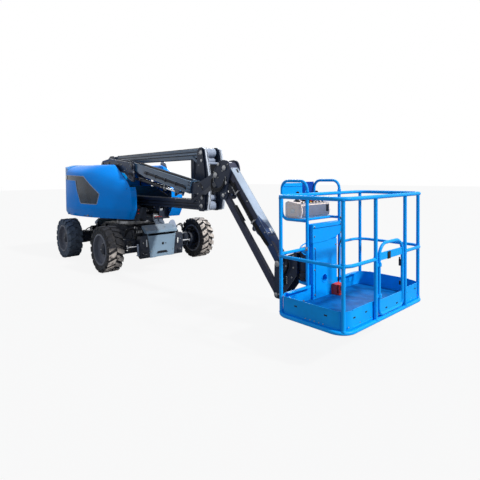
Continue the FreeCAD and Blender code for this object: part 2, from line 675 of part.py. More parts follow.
def make_hood():
    outer = hood_solid(0)
    inner = hood_solid(HOOD_T)
    inner = inner.fuse(inner.translated(V(0, 0, -HOOD_T - 1)))
    shell = outer.cut(inner)
    clear = box((-1300, 905), (0, HOOD_INNER_Y), (800, 2100))
    clear = clear.fuse(box((-1300, 1300), (0, HOOD_INNER_Y), (HOOD_LIP_TOP_Z, 2100)))
    shell = shell.cut(clear)
    opening = slab("Y", WINDOW, 500, 1300)
    y, z = HOOD_HINGE_Y, HOOD_HINGE_Z
    lugs = []
    for x in HOOD_POSTS:
        for low in (x - POST_HALF - 12, x + POST_HALF + 4):
            root = [(y - HOOD_HINGE_R, z), (y + HOOD_HINGE_R, z), (y + 20, HOOD_TOP_Z - HOOD_T + 2), (y - 16, HOOD_TOP_Z - HOOD_T + 2)]
            lugs.append(slab("X", root, low, low + 8))
            lugs.append(rod((low, y, z), (low + 8, y, z), HOOD_HINGE_R))
    hood = shell.cut(opening).multiFuse(lugs)
    for x in HOOD_POSTS:
        hood = hood.cut(rod((x - 40, y, z), (x + 40, y, z), HOOD_PIN_R + PIN_FIT))
    return hood


def make_pane():
    outer = hood_solid(4.0)
    inner = hood_solid(4.0 + PANE_T)
    inner = inner.fuse(inner.translated(V(0, 0, -40)))
    ring = outer.cut(inner)
    opening = slab("Y", WINDOW, 500, 1300)
    return ring.common(opening).common(box((-925, 400), (600, 1200), (1100, 1900)))


HOOD = make_hood()
PANE = make_pane()
keep("hood_left", HOOD)
keep("hood_right", mirrored(HOOD))
keep("hood_window_left", PANE)
keep("hood_window_right", mirrored(PANE))


# Riser

def make_arm(z):
    """Box arm between the two riser pivots at one height."""
    y = (-ARM_HALF_Y, ARM_HALF_Y)
    ends = ((RISER_REAR_X, z), (RISER_FRONT_X, z))
    parts = [box((RISER_REAR_X + 30, RISER_FRONT_X - 30), y, (z - ARM_H / 2, z + ARM_H / 2))]
    parts += [disc(end, ARM_BOSS_R, y) for end in ends]
    arm = fuse(*parts)
    for end in ends:
        arm = arm.cut(disc(end, ARM_PIN_R + PIN_FIT, (y[0] - 1, y[1] + 1)))
    return arm


def make_link(z, bow):
    """Pair of flat bars beside an arm; their long middle is offset towards it."""
    half = LINK_H / 2
    x0, x1 = RISER_REAR_X, RISER_FRONT_X
    bars = []
    for sign in (-1, 1):
        y = side(LINK_Y, sign)
        bar = slab("Y", [
            (x0, z - half), (x0 + 190, z - half), (x0 + 300, z - half + bow), (x1 - 300, z - half + bow),
            (x1 - 190, z - half), (x1, z - half), (x1, z + half), (x1 - 190, z + half),
            (x1 - 300, z + half + bow), (x0 + 300, z + half + bow), (x0 + 190, z + half), (x0, z + half)], *y)
        bar = fuse(bar, disc((x0, z), half + 8, y), disc((x1, z), half + 8, y))
        for x in (x0, x1):
            bar = bar.cut(disc((x, z), LINK_PIN_R + PIN_FIT, (y[0] - 1, y[1] + 1)))
        bars.append(bar)
    return Part.makeCompound(bars)


def make_lower_arm():
    eye = RISER_CYL[1]
    bottom = LOWER_Z - ARM_H / 2 + 2
    root = [(eye[0] - 110, bottom), (eye[0] - 38, eye[1]), (eye[0] + 38, eye[1]), (eye[0] + 110, bottom)]
    return fuse(make_arm(LOWER_Z), *ears(eye, 40, 55, 16, 0, root))


def make_riser_knuckle():
    parts = []
    for sign in (-1, 1):
        parts.append(slab("Y", [
            (2585, 2150, 40), (2640, 2192, 40), (2740, 2192, 30), (2800, 1720), (2800, 1450), (2778, 1165, 30),
            (2730, 1148, 30), (2600, 1148, 40), (2560, 1400), (2540, 1700), (2570, 2000)], *side(PLATE_Y, sign)))
        flange = side((PLATE_Y[0], PLATE_Y[1] + 22), sign)
        parts.append(slab("Y", [
            (2735, 2190), (2745, 2190), (2810, 1722), (2810, 1448), (2788, 1170), (2778, 1170), (2800, 1450),
            (2800, 1720)], *flange))
        for z in (LOWER_Z + LINK_DZ, UPPER_Z - LINK_DZ):
            parts.append(disc((RISER_FRONT_X, z), LINK_PIN_R, side((LINK_Y[0] - 8, PLATE_Y[1]), sign)))
    for z in (LOWER_Z, UPPER_Z):
        parts.append(disc((RISER_FRONT_X, z), ARM_PIN_R, (-PLATE_Y[1] - 10, PLATE_Y[1] + 10)))
    for z in (LOWER_Z + LINK_DZ, UPPER_Z - LINK_DZ):
        parts.append(disc((RISER_FRONT_X, z), 44, (-LINK_Y[0] + 3, LINK_Y[0] - 3)))
    parts.append(disc((2720, 1640), 40, (-PLATE_Y[0] - 5, PLATE_Y[0] + 5)))
    return fuse(*parts)


keep("lower_arm", make_lower_arm())
keep("lower_link", make_link(LOWER_Z + LINK_DZ, -LINK_BOW))
keep("riser_knuckle", make_riser_knuckle())
keep("upper_arm", make_arm(UPPER_Z))
keep("upper_link", make_link(UPPER_Z - LINK_DZ, LINK_BOW))
POST_TOP = UPPER_Z - ARM_H / 2
POST_LOW = LOWER_Z + ARM_H / 2 + 5
keep("stow_post", fuse(
    box((POST_X - 45, POST_X + 45), (-40, 40), (POST_LOW, POST_TOP - SEAT)),
    box((POST_X - 90, POST_X + 90), (-70, 70), (POST_TOP - 18, POST_TOP - SEAT)),
    box((POST_X - 80, POST_X + 80), (-60, 60), (POST_LOW, POST_LOW + 16))))


def make_upright():
    """Rear upright of the riser, with the side plates that carry the boom."""
    parts = []
    for sign in (-1, 1):
        parts.append(slab("Y", [
            (-880, 2120, 60), (-740, 2195, 60), (-560, 2195, 60), (-540, 1990, 40), (-590, 1925, 40), (-860, 1925, 60)],
            *side(PLATE_Y, sign)))
        parts.append(disc((RISER_REAR_X, UPPER_Z - LINK_DZ), LINK_PIN_R, side((LINK_Y[0] - 2, PLATE_Y[0] + 5), sign)))
        y = sorted((BOOM_Y + sign * UPRIGHT_GAP, BOOM_Y + sign * (UPRIGHT_GAP + UPRIGHT_T)))
        nose = [(60, 2090, 200), (960, 1985, 30), (1060, 1960, 50), (1105, 1680, 45), (1080, 1630, 40), (960, 1630, 60),
                (700, 1790, 200), (0, 1900, 300)]
        tail = [(-600, 1900, 60), (-870, 1960, 60), (-830, 2100, 90), (-330, 2062, 80)]
        if sign < 0:
            tail = [(-310, 1930, 60), (-395, 1965, 35), (-375, 2040, 40)]
        parts.append(slab("Y", nose + tail, *y))
        rim = sorted((BOOM_Y + sign * UPRIGHT_GAP, BOOM_Y + sign * (UPRIGHT_GAP + 34)))
        parts.append(slab("Y", [(-300, 2050), (60, 2084), (960, 1979), (960, 1993), (60, 2098), (-300, 2064)], *rim))
    parts.append(disc((RISER_REAR_X, UPPER_Z), ARM_PIN_R, (-PLATE_Y[1] - 10, PLATE_Y[1] + 10)))
    reach = BOOM_Y - UPRIGHT_GAP - 5
    parts.append(disc((-808, 2040), 50, (BOOM_Y + UPRIGHT_GAP + 3, PLATE_Y[1])))
    parts.append(disc((-300, 1995), 38, (reach, BOOM_Y + UPRIGHT_GAP + 5)))
    parts.append(disc((-20, 1985), 45, (reach, BOOM_Y + UPRIGHT_GAP + 5)))
    parts.append(box((350, 650), (reach, BOOM_Y + UPRIGHT_GAP + 5), (1885, 1900)))
    pins = (BOOM_Y - UPRIGHT_GAP - UPRIGHT_T, BOOM_Y + UPRIGHT_GAP + UPRIGHT_T)
    parts.append(disc((BOOM_X, BOOM_Z), BOOM_PIN_R, (pins[0] - 12, pins[1] + 12)))
    parts.append(disc((BOOM_X, BOOM_Z), 52, (pins[0] - 8, pins[0] + 2)))
    parts.append(disc(BOOM_CYL[0], PINS["boom_cylinder"], (pins[0], pins[1])))
    return fuse(*parts)


keep("upright", make_upright())
cylinder_pair("riser_cylinder", RISER_CYL[0], RISER_CYL[1], 0, 44, 26, 30, 940, 105)


# Primary boom, drawn along +X from its pivot and turned nose down

def boom_local(point):
    """Place on the stowed boom, given along it and up from its pivot."""
    return turned(point[0], point[1], BOOM_DOWN, BOOM_X, BOOM_Z)


def to_boom(point):
    """Along and up from the boom's pivot, for a stowed (x, z) point."""
    a = math.radians(BOOM_DOWN)
    dx, dz = point[0] - BOOM_X, point[1] - BOOM_Z
    return (dx * math.cos(a) - dz * math.sin(a), dx * math.sin(a) + dz * math.cos(a))


def make_boom_outer():
    top = BOOM_H / 2 - BOOM_DROP
    low = -BOOM_H / 2 - BOOM_DROP
    half = BOOM_HALF_Y
    tube = box((400, BOOM_MOUTH), (-half, half), (low, top))
    tube = tube.cut(box((390, BOOM_MOUTH + 1), (-half + BOOM_WALL, half - BOOM_WALL), (low + BOOM_WALL, top - BOOM_WALL)))
    parts = [tube, box((70, 410), (-half, half), (top - 12, top))]
    for sign in (-1, 1):
        y = sorted((sign * half, sign * (half - 22)))
        parts.append(slab("Y", [(0, -62), (410, low), (410, top), (0, top)], *y))
        parts.append(disc((0, 0), 64, tuple(y)))
        parts.append(box((BOOM_MOUTH - 70, BOOM_MOUTH), sorted((sign * half, sign * (half + 8))), (low + 10, top - 10)))
    parts.append(box((BOOM_MOUTH - 70, BOOM_MOUTH), (-half, half), (top - 1, top + 8)))
    eye = to_boom(BOOM_CYL[1])
    root = [(eye[0] - 120, low + 2), (eye[0] - 40, eye[1]), (eye[0] + 40, eye[1]), (eye[0] + 90, low + 2)]
    parts += ears(eye, 40, 50, 16, 0, root)
    boom = fuse(*parts).cut(disc((0, 0), BOOM_PIN_R + PIN_FIT, (-half - 1, half + 1)))
    return place(boom, BOOM_DOWN, BOOM_X, BOOM_Z, BOOM_Y)


def make_boom_inner():
    mid = -BOOM_DROP
    half, high = INNER_HALF_Y, INNER_H / 2
    nose = to_boom((NOSE_X, NOSE_Z))
    front = BOOM_MOUTH + 130
    parts = [box((INNER_REAR, front), (-half, half), (mid - high, mid + high))]
    gap_y = BOOM_HALF_Y - BOOM_WALL - SEAT
    gap_z = BOOM_H / 2 - BOOM_WALL - SEAT
    for x in ((INNER_REAR, INNER_REAR + 90), (BOOM_MOUTH - 100, BOOM_MOUTH - 10)):
        parts.append(box(x, (-gap_y, gap_y), (mid - 40, mid + 40)))
        parts.append(box(x, (-40, 40), (mid - gap_z, mid + gap_z)))
    neck = slab("Y", [
        (front - 90, mid - high, 10), (front + 65, mid - high - 5, 60), (nose[0] - 166, nose[1] - 201, 160),
        (nose[0] + 34, nose[1] - 52), (nose[0] - 34, nose[1] + 52),
        (front + 40, mid + high + 40, 120), (front - 80, mid + high, 10)], -half, half)
    parts.append(neck)
    parts.append(disc(nose, 66, (-half, half)))
    boom = fuse(*parts).cut(disc(nose, NOSE_PIN_R + PIN_FIT, (-half - 1, half + 1)))
    return place(boom, BOOM_DOWN, BOOM_X, BOOM_Z, BOOM_Y)


keep("boom_outer", make_boom_outer())
keep("boom_inner", make_boom_inner())
cylinder_pair("boom_cylinder", BOOM_CYL[0], BOOM_CYL[1], BOOM_Y, 36, 22, 30, 960, 105)


# Level knuckle and jib

def make_jib_bracket():
    parts = []
    for sign in (-1, 1):
        y = sorted((BOOM_Y + sign * HEAD_PLATE[0], BOOM_Y + sign * HEAD_PLATE[1]))
        parts.append(slab("Y", [
            (3400, 1690, 60), (3440, 1815, 70), (3560, 1935, 90), (3740, 1950, 110), (3800, 1800, 80), (3735, 1590, 80),
            (3715, 1395, 55), (3585, 1385, 50), (3560, 1500, 80)], *y))
    span = (BOOM_Y - HEAD_PLATE[1] - 8, BOOM_Y + HEAD_PLATE[1] + 8)
    parts.append(disc((NOSE_X, NOSE_Z), NOSE_PIN_R, span))
    parts.append(disc((JIB_X, JIB_Z), JIB_PIN_R, span))
    parts.append(disc((JIB_LINK_X, JIB_LINK_Z), JIB_LINK_PIN_R, span))
    parts.append(disc(JIB_CYL_PIN, PINS["jib_cylinder"], span))
    parts.append(disc((3545, 1885), 18, span))
    return fuse(*parts)


def make_jib_beam():
    half, high = JIB_HALF_Y, JIB_H / 2
    eye = JIB_CYL_EYE
    parts = [
        slab("Y", [
            (0, -high), (1060, -high, 20), (1170, -28, 40), (JIB_LEN, -45), (JIB_LEN, 45), (1270, high - 5, 60),
            (1180, high, 60), (0, high)], -half, half),
        disc((0, 0), JIB_BOSS_R, (-half, half)),
        disc((JIB_LEN, 0), 60, (-half, half)),
    ]
    pocket = box((120, eye[0] + 100), (-half + 10, half - 10), (-high - 1, high - 10))
    notch = box((150, 250), (-half - 1, half + 1), (-high - 1, -high + 40))
    hollow = fuse(*parts).cut(pocket).cut(notch)
    root = [(eye[0] - 90, high - 5), (eye[0] - 36, eye[1]), (eye[0] + 36, eye[1]), (eye[0] + 99, high - 5)]
    beam = hollow.multiFuse(ears(eye, 36, 42, 12, JIB_CYL_Y, root))
    for x in (0, JIB_LEN):
        beam = beam.cut(disc((x, 0), JIB_PIN_R + PIN_FIT, (-half - 1, half + 1)))
    return place(beam, JIB_DOWN, JIB_X, JIB_Z, BOOM_Y)


def make_jib_link():
    high = JIB_LINK_H / 2
    parts = [box((0, JIB_LEN), JIB_LINK_Y, (-high, high))]
    parts += [disc((x, 0), high, JIB_LINK_Y) for x in (0, JIB_LEN)]
    link = fuse(*parts)
    for x in (0, JIB_LEN):
        link = link.cut(disc((x, 0), JIB_LINK_PIN_R + PIN_FIT, (JIB_LINK_Y[0] - 1, JIB_LINK_Y[1] + 1)))
    return place(link, JIB_DOWN, JIB_LINK_X, JIB_LINK_Z, BOOM_Y)


JIB_END = turned(JIB_LEN, 0, JIB_DOWN, JIB_X, JIB_Z)
JIB_LINK_END = turned(JIB_LEN, 0, JIB_DOWN, JIB_LINK_X, JIB_LINK_Z)
keep("jib_bracket", make_jib_bracket())
keep("jib_beam", make_jib_beam())
keep("jib_link", make_jib_link())
cylinder_pair("jib_cylinder", JIB_CYL_PIN, turned(*JIB_CYL_EYE, JIB_DOWN, JIB_X, JIB_Z), BOOM_Y + JIB_CYL_Y,
              33, 18, 20, 610, 135)

# Platform bracket and the turning mount
TURN_Z = (500.0, 840.0)
TURN_R = 68.0


def make_platform_bracket():
    parts = []
    for sign in (-1, 1):
        y = sorted((BOOM_Y + sign * HEAD_PLATE[0], BOOM_Y + sign * HEAD_PLATE[1]))
        parts.append(slab("Y", [
            (JIB_LINK_END[0] - 42, JIB_LINK_END[1] - 44, 40), (JIB_LINK_END[0] + 55, JIB_LINK_END[1] - 44, 45),
            (TURN_X - TURN_R + 10, TURN_Z[0] + 60, 40), (TURN_X - TURN_R + 10, TURN_Z[1] - 10, 20),
            (JIB_END[0] + 10, JIB_END[1] + 62, 50), (JIB_END[0] - 52, JIB_END[1] - 5, 45)], *y))
    plate = (BOOM_Y - HEAD_PLATE[1], BOOM_Y + HEAD_PLATE[1])
    parts.append(box((TURN_X - TURN_R - 30, TURN_X - TURN_R + 14), plate, (TURN_Z[0] + 70, TURN_Z[1] - 15)))
    parts.append(rod((TURN_X, BOOM_Y, TURN_Z[0]), (TURN_X, BOOM_Y, TURN_Z[1]), TURN_R))
    span = (plate[0] - 8, plate[1] + 8)
    parts.append(disc(JIB_END, JIB_PIN_R, span))
    parts.append(disc(JIB_LINK_END, JIB_LINK_PIN_R, span))
    bore = rod((TURN_X, BOOM_Y, TURN_Z[0] - 1), (TURN_X, BOOM_Y, TURN_Z[1] + 1), 34 + PIN_FIT)
    return fuse(*parts).cut(bore)


PANEL_X = PLAT_REAR_X - TUBE_R - 8


def make_rotator():
    """Yoke that turns on the bracket and carries the platform."""
    parts = [rod((TURN_X, BOOM_Y, TURN_Z[0] - 30), (TURN_X, BOOM_Y, TURN_Z[1] + 30), 34)]
    for z in ((TURN_Z[0] - 30, TURN_Z[0] - FACE_FIT), (TURN_Z[1] + FACE_FIT, TURN_Z[1] + 30)):
        parts.append(slab("Z", [
            (TURN_X - 70, BOOM_Y - 70, 68), (PANEL_X - SEAT, BOOM_Y - 130), (PANEL_X - SEAT, BOOM_Y + 130),
            (TURN_X - 70, BOOM_Y + 70, 68)], *z))
    parts.append(box((PANEL_X - 60, PANEL_X - SEAT), (BOOM_Y - 130, BOOM_Y + 130), (TURN_Z[0] - 30, TURN_Z[1] + 30)))
    return fuse(*parts)


keep("platform_bracket", make_platform_bracket())
keep("platform_rotator", make_rotator())


# Platform

def corner_posts():
    """Centres of the corner posts, each on the middle of its corner's bend."""
    inward = CORNER_R * (1 - math.sqrt(0.5))
    near = (PLAT_REAR_X + inward, PLAT_FRONT_X - inward)
    across = (PLAT_Y - PLAT_HALF_Y + inward, PLAT_Y + PLAT_HALF_Y - inward)
    return [(x, y) for x in near for y in across]


def make_rails():
    x0, x1 = PLAT_REAR_X, PLAT_FRONT_X
    y0, y1 = PLAT_Y - PLAT_HALF_Y, PLAT_Y + PLAT_HALF_Y
    low = PLAT_LOW_Z + TUBE_R
    loops = [(x0, y0), (x1, y0), (x1, y1), (x0, y1)]
    parts = [pipe([(x, y, z) for x, y in loops], TUBE_R, CORNER_R, True) for z in (TOP_Z, low)]
    gate_posts = (GATE_Y[0] - GATE_POST, GATE_Y[1] + GATE_POST)
    mids = [
        [(x1, gate_posts[0], MID_Z), (x1, y0, MID_Z), (x0, y0, MID_Z), (x0, GUARD_Y[0], MID_Z)],
        [(x1, gate_posts[1], MID_Z), (x1, y1, MID_Z), (x0, y1, MID_Z), (x0, GUARD_Y[1], MID_Z)],
    ]
    parts += [pipe(m, MID_R, CORNER_R) for m in mids]
    posts = [(x1, gate_posts[0]), (x1, gate_posts[1]), (x0, GUARD_Y[0]), (x0, GUARD_Y[1])]
    posts += corner_posts()
    parts += [rod((x, y, low), (x, y, TOP_Z), POST_R) for x, y in posts]
    for z in GATE_RING_Z:
        parts.append(rod((x1, GATE_Y[0], z), (x1, GATE_Y[0], z + 30), GATE_RING_R))
        parts.append(box((x1 - 8, x1 + 8), (gate_posts[0], GATE_Y[0] - GATE_R - 4), (z, z + 30)))
    rails = fuse(*parts)
    for z in GATE_RING_Z:
        rails = rails.cut(rod((x1, GATE_Y[0], z - 1), (x1, GATE_Y[0], z + 31), GATE_R + PIN_FIT))
    return rails


def inside_rails(inset, low, high):
    """Block that follows the rails' plan, drawn in from their middle line."""
    x0, x1 = PLAT_REAR_X + inset, PLAT_FRONT_X - inset
    y0, y1 = PLAT_Y - PLAT_HALF_Y + inset, PLAT_Y + PLAT_HALF_Y - inset
    bend = CORNER_R - inset
    return slab("Z", [(x0, y0, bend), (x1, y0, bend), (x1, y1, bend), (x0, y1, bend)], low, high)


def make_floor():
    """Floor sheet with its bearers and the toe boards round it."""
    edge = TUBE_R + SEAT
    y = (PLAT_Y - PLAT_HALF_Y + edge, PLAT_Y + PLAT_HALF_Y - edge)
    boards = inside_rails(edge, FLOOR_Z - 1, TOE_Z).cut(inside_rails(edge + TOE_T, FLOOR_Z - 2, TOE_Z + 1))
    gate = box((PLAT_FRONT_X - 80, PLAT_FRONT_X), (GATE_Y[0] - 25, GATE_Y[1] + 25), (FLOOR_Z, TOE_Z + 1))
    channel = box((PLAT_REAR_X, CHANNEL_X + SEAT), (CHANNEL_Y[0] - SEAT, CHANNEL_Y[1] + SEAT), (PLAT_LOW_Z, TOE_Z + 1))
    bearers = [box((x - 25, x + 25), y, (PLAT_LOW_Z + 5, FLOOR_Z - 1)) for x in FLOOR_BEARERS]
    return fuse(inside_rails(edge, FLOOR_Z - FLOOR_T, FLOOR_Z), boards, *bearers).cut(gate).cut(channel)


keep("platform_rails", make_rails())
keep("platform_floor", make_floor())


def make_panel():
    """Mount panel: sheet behind the rails, channel inside them, box between the guard posts."""
    x = (PANEL_X, PANEL_X + 8 - SEAT)
    sheet = slab("X", [
        (-640, PLAT_LOW_Z + 10, 30), (-175, PLAT_LOW_Z + 10, 30), (-175, 900, 60), (-84, 1000), (-84, PANEL_TOP_Z),
        (-642, PANEL_TOP_Z), (-642, 960)], *x)
    channel = box((x[1] - 1, CHANNEL_X), CHANNEL_Y, (FLOOR_Z - 5, 1000))
    lower = [(-642, 948), (-500, 944), (-380, 950), (-250, 968), (-160, 994), (-84, 1032)]
    rear = outline(lower + [(-84, PANEL_TOP_Z), (-642, PANEL_TOP_Z)], lambda p: V(x[1] - 1, p.x, p.y))
    front = outline([(y, z + 46) for y, z in lower] + [(-84, PANEL_TOP_Z), (-642, PANEL_TOP_Z)],
                    lambda p: V(PANEL_BOX_X, p.x, p.y))
    upper = Part.makeLoft([rear, front], True, True)
    low = (PLAT_LOW_Z - 10, FLOOR_Z - 4)
    bottom_ring = box((PLAT_REAR_X - TUBE_R - SEAT, CHANNEL_X + 1), CHANNEL_Y, low)
    hole = rod((x[0] - 1, HOLE[0], HOLE[1]), (CHANNEL_X + 1, HOLE[0], HOLE[1]), HOLE_R)
    return fuse(sheet, channel.cut(bottom_ring), upper).cut(hole)


def make_guard():
    """Two hoops that carry the console, joined by tubes below it and a sheet behind it."""
    parts = []
    x = PLAT_REAR_X
    for y in GUARD_Y:
        parts.append(pipe([(x, y, TOP_Z + TUBE_R + SEAT), (x, y, GUARD_Z), (GUARD_X, y, GUARD_Z), (GUARD_X, y, GUARD_LOW_Z),
                           (PANEL_X - SEAT, y, GUARD_LOW_Z)], GUARD_R, 90))
    for reach in (110, 250):
        parts.append(rod((GUARD_X + reach, GUARD_Y[0], GUARD_LOW_Z), (GUARD_X + reach, GUARD_Y[1], GUARD_LOW_Z),
                         GUARD_CROSS_R))
    parts.append(slab("X", [
        (GUARD_Y[0], 1470), (GUARD_Y[1], 1470), (GUARD_Y[1], 1560), (GUARD_Y[1] - 35, 1630, 20),
        (GUARD_Y[0] + 35, 1630, 20), (GUARD_Y[0], 1560)], GUARD_X - 3, GUARD_X + 3))
    return fuse(*parts)


def make_console():
    z = GUARD_LOW_Z + GUARD_CROSS_R + SEAT
    return slab("Y", [
        (GUARD_X + 30, z), (5140, z, 12), (5160, z + 70, 20), (5150, z + 158, 14), (GUARD_X + 70, z + 188, 25),
        (GUARD_X + 30, z + 170, 12)], GUARD_Y[0] + 24, GUARD_Y[1] - 52)


keep("mount_panel", make_panel())
keep("console_guard", make_guard())
keep("control_console", make_console())
keep("foot_switch", fuse(
    box((5306, 5412), SWITCH_Y, (FLOOR_Z + SEAT, FLOOR_Z + 24)),
    slab("Y", [(5306, FLOOR_Z + 20), (5306, FLOOR_Z + 118, 15), (5388, FLOOR_Z + 108, 20), (5398, FLOOR_Z + 20)],
         *SWITCH_Y)))


def make_gate():
    y0, y1 = GATE_Y
    x = PLAT_FRONT_X
    low, high = GATE_Z
    split = 700.0
    top = pipe([(x, y0, split), (x, y0, high), (x, y1, high), (x, y1, split)], GATE_R, 130)
    foot = pipe([(x, y1, split), (x, y1, low), (x, y0, low), (x, y0, split)], GATE_R, 60)
    parts = [
        top, foot,
        box((x - 5, x + 5), (y0 + 10, y1 - 10), (MID_Z - 22, MID_Z + 50)),
        slab("X", [(y0 + 10, low + 6, 50), (y1 - 10, low + 6, 50), (y1 - 10, TOE_Z), (y0 + 10, TOE_Z)], x - 3, x + 3),
    ]
    return fuse(*parts)


keep("platform_gate", make_gate())


# Export
os.makedirs("parts", exist_ok=True)
for name, shape in NODES.items():
    shape = shape.copy()
    shape.translate(V(-X_MID, 0, 0))
    shape.exportStep("parts/" + name + ".step")
print(len(NODES), "nodes")
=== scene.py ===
import bpy
import bmesh
import fnmatch
import math
from mathutils import Matrix, Vector


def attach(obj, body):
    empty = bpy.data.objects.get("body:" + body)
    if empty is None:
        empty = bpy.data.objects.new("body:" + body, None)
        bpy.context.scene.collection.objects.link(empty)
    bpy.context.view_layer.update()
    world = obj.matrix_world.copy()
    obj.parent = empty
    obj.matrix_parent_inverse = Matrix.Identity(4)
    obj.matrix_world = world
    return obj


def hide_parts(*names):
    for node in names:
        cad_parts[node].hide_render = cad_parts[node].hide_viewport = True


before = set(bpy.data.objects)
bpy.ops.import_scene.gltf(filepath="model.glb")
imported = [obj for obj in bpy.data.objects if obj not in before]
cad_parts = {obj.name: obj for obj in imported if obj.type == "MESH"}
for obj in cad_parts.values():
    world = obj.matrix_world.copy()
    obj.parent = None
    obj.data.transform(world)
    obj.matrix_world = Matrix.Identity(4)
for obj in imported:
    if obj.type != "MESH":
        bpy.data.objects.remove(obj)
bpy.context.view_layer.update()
X_MID = 2343.0          # the row frame's origin along the machine, in mm


def at(x, y, z):
    """A point of the machine's own frame, in mm, as metres in the row frame."""
    return Vector(((x - X_MID) / 1000, y / 1000, z / 1000))


def srgb(r, g, b):
    """A colour as it is seen, 0 to 255, as linear values."""
    return tuple(((c / 255 + 0.055) / 1.055) ** 2.4 if c > 10 else c / 3294 for c in (r, g, b)) + (1.0,)


# Materials

def feed(tree, socket, value):
    """Links a value into the socket, or sets it as the socket's own constant."""
    if isinstance(value, bpy.types.NodeSocket):
        tree.links.new(value, socket)
    else:
        socket.default_value = value


def node(tree, kind, **inputs):
    n = tree.nodes.new("ShaderNode" + kind)
    for key, value in inputs.items():
        socket = key.replace("_", " ")
        if socket in n.inputs:
            feed(tree, n.inputs[socket], value)
        else:
            setattr(n, key, value)
    return n


def ramp(tree, value, low, high):
    """0 below low, 1 above high."""
    return node(tree, "MapRange", Value=value, From_Min=low, From_Max=high).outputs[0]


def maths(tree, operation, *values, kind="Math", output=0):
    n = tree.nodes.new("ShaderNode" + kind)
    n.operation = operation
    for socket, value in zip(n.inputs, values):
        feed(tree, socket, value)
    return n.outputs[output]


def multiply(tree, a, b):
    return maths(tree, "MULTIPLY", a, b)


def blended(tree, share, first, second):
    """The first colour, turning to the second where the share is 1."""
    n = tree.nodes.new("ShaderNodeMix")
    n.data_type = "RGBA"
    for k, value in ((0, share), (6, first), (7, second)):
        feed(tree, n.inputs[k], value)
    return n.outputs[2]


def noise(tree, spot, scale, detail, rough=0.5):
    return node(tree, "TexNoise", Vector=spot, Scale=scale, Detail=detail, Roughness=rough).outputs[0]


def part_of(tree, vector, axis):
    return node(tree, "SeparateXYZ", Vector=vector).outputs[axis]


def show(tree, kind, shader):
    """The shader as the material's or the world's surface."""
    tree.links.new(shader, node(tree, kind).inputs["Surface"])


DUST = srgb(150, 142, 134)
AXLE_X = 958.0           # axles fore and aft of the turntable's middle, in mm
AXLE_Z = 420.0
AXLE_HEIGHT = AXLE_Z / 1000


EDGE_WIDTH = 0.004       # how far the edge colour, rubbed wear and painted highlight, reaches in from an edge, in metres
FILM_TONE = (0.35, 0.95)  # dust grows from faces this steep to faces this level
MUD_HEIGHT = (0.95, 0.05)  # splash grows from this height down to this one, in metres


def finish(name, colour, rough=0.4, metal=0.0, coat=0.0, vary=0.10, vary_scale=2.5, grain=220.0, bump=0.03,
           dust=0.0, splash=0.0, edge=None, edge_share=0.6, round_m=0.003, sheen=0.0, spec=0.2):
    """Paint, plastic, rubber or metal with its own mottling, grain, dust on top faces, and an edge colour that
    is rubbed wear where it is bare steel and painted highlight where it is a lighter tint of the paint.
    """
    mat = bpy.data.materials.new(name)
    mat.use_nodes = True
    tree = mat.node_tree
    shader = tree.nodes["Principled BSDF"]
    place = node(tree, "TexCoord")
    spot = place.outputs["Object"]
    cloud = noise(tree, spot, vary_scale, 5.0, 0.6)
    darker = tuple(c * (1 - vary * 1.6) for c in colour[:3]) + (1.0,)
    lighter = tuple(min(1.0, c * (1 + vary)) for c in colour[:3]) + (1.0,)
    shade = blended(tree, ramp(tree, cloud, 0.3, 0.7), darker, lighter)
    fine = noise(tree, spot, grain, 3.0, 0.7)
    # Edge colour: rubbed wear where it is bare steel, painted highlight where it is a lighter tint of the paint
    if edge is not None:
        soft = node(tree, "Bevel", samples=4, Radius=EDGE_WIDTH).outputs[0]
        plain = node(tree, "NewGeometry").outputs["Normal"]
        level = maths(tree, "DOT_PRODUCT", soft, plain, kind="VectorMath", output="Value")
        edge_wear_and_highlight = multiply(tree, ramp(tree, level, 0.97, 0.80),
                ramp(tree, noise(tree, spot, 34.0, 4.0), 0.42, 0.60))
        shade = blended(tree, multiply(tree, edge_wear_and_highlight, edge_share), shade, edge)
    if dust:
        up = part_of(tree, place.outputs["Normal"], 2)
        film = multiply(tree, ramp(tree, up, *FILM_TONE), ramp(tree, cloud, 0.25, 0.75))
        shade = blended(tree, multiply(tree, film, dust), shade, DUST)
    if splash:
        speck = noise(tree, spot, 14.0, 8.0, 0.75)
        mud = multiply(tree, ramp(tree, part_of(tree, spot, 2), *MUD_HEIGHT), ramp(tree, speck, 0.44, 0.62))
        shade = blended(tree, multiply(tree, mud, splash), shade, DUST)
    gloss = node(tree, "MapRange", Value=fine, To_Min=max(0.02, rough - 0.07), To_Max=min(1.0, rough + 0.09))
    softened = node(tree, "Bevel", samples=4, Radius=round_m).outputs[0]
    relief = node(tree, "Bump", Strength=bump, Distance=0.002, Height=fine, Normal=softened)
    for socket, value in (("Base Color", shade), ("Roughness", gloss.outputs[0]),
            ("Normal", relief.outputs[0]),
                          ("Metallic", metal), ("Coat Weight", coat), ("Coat Roughness", 0.08),
                          ("Sheen Weight", sheen), ("Specular IOR Level", spec)):
        feed(tree, shader.inputs[socket], value)
    return mat


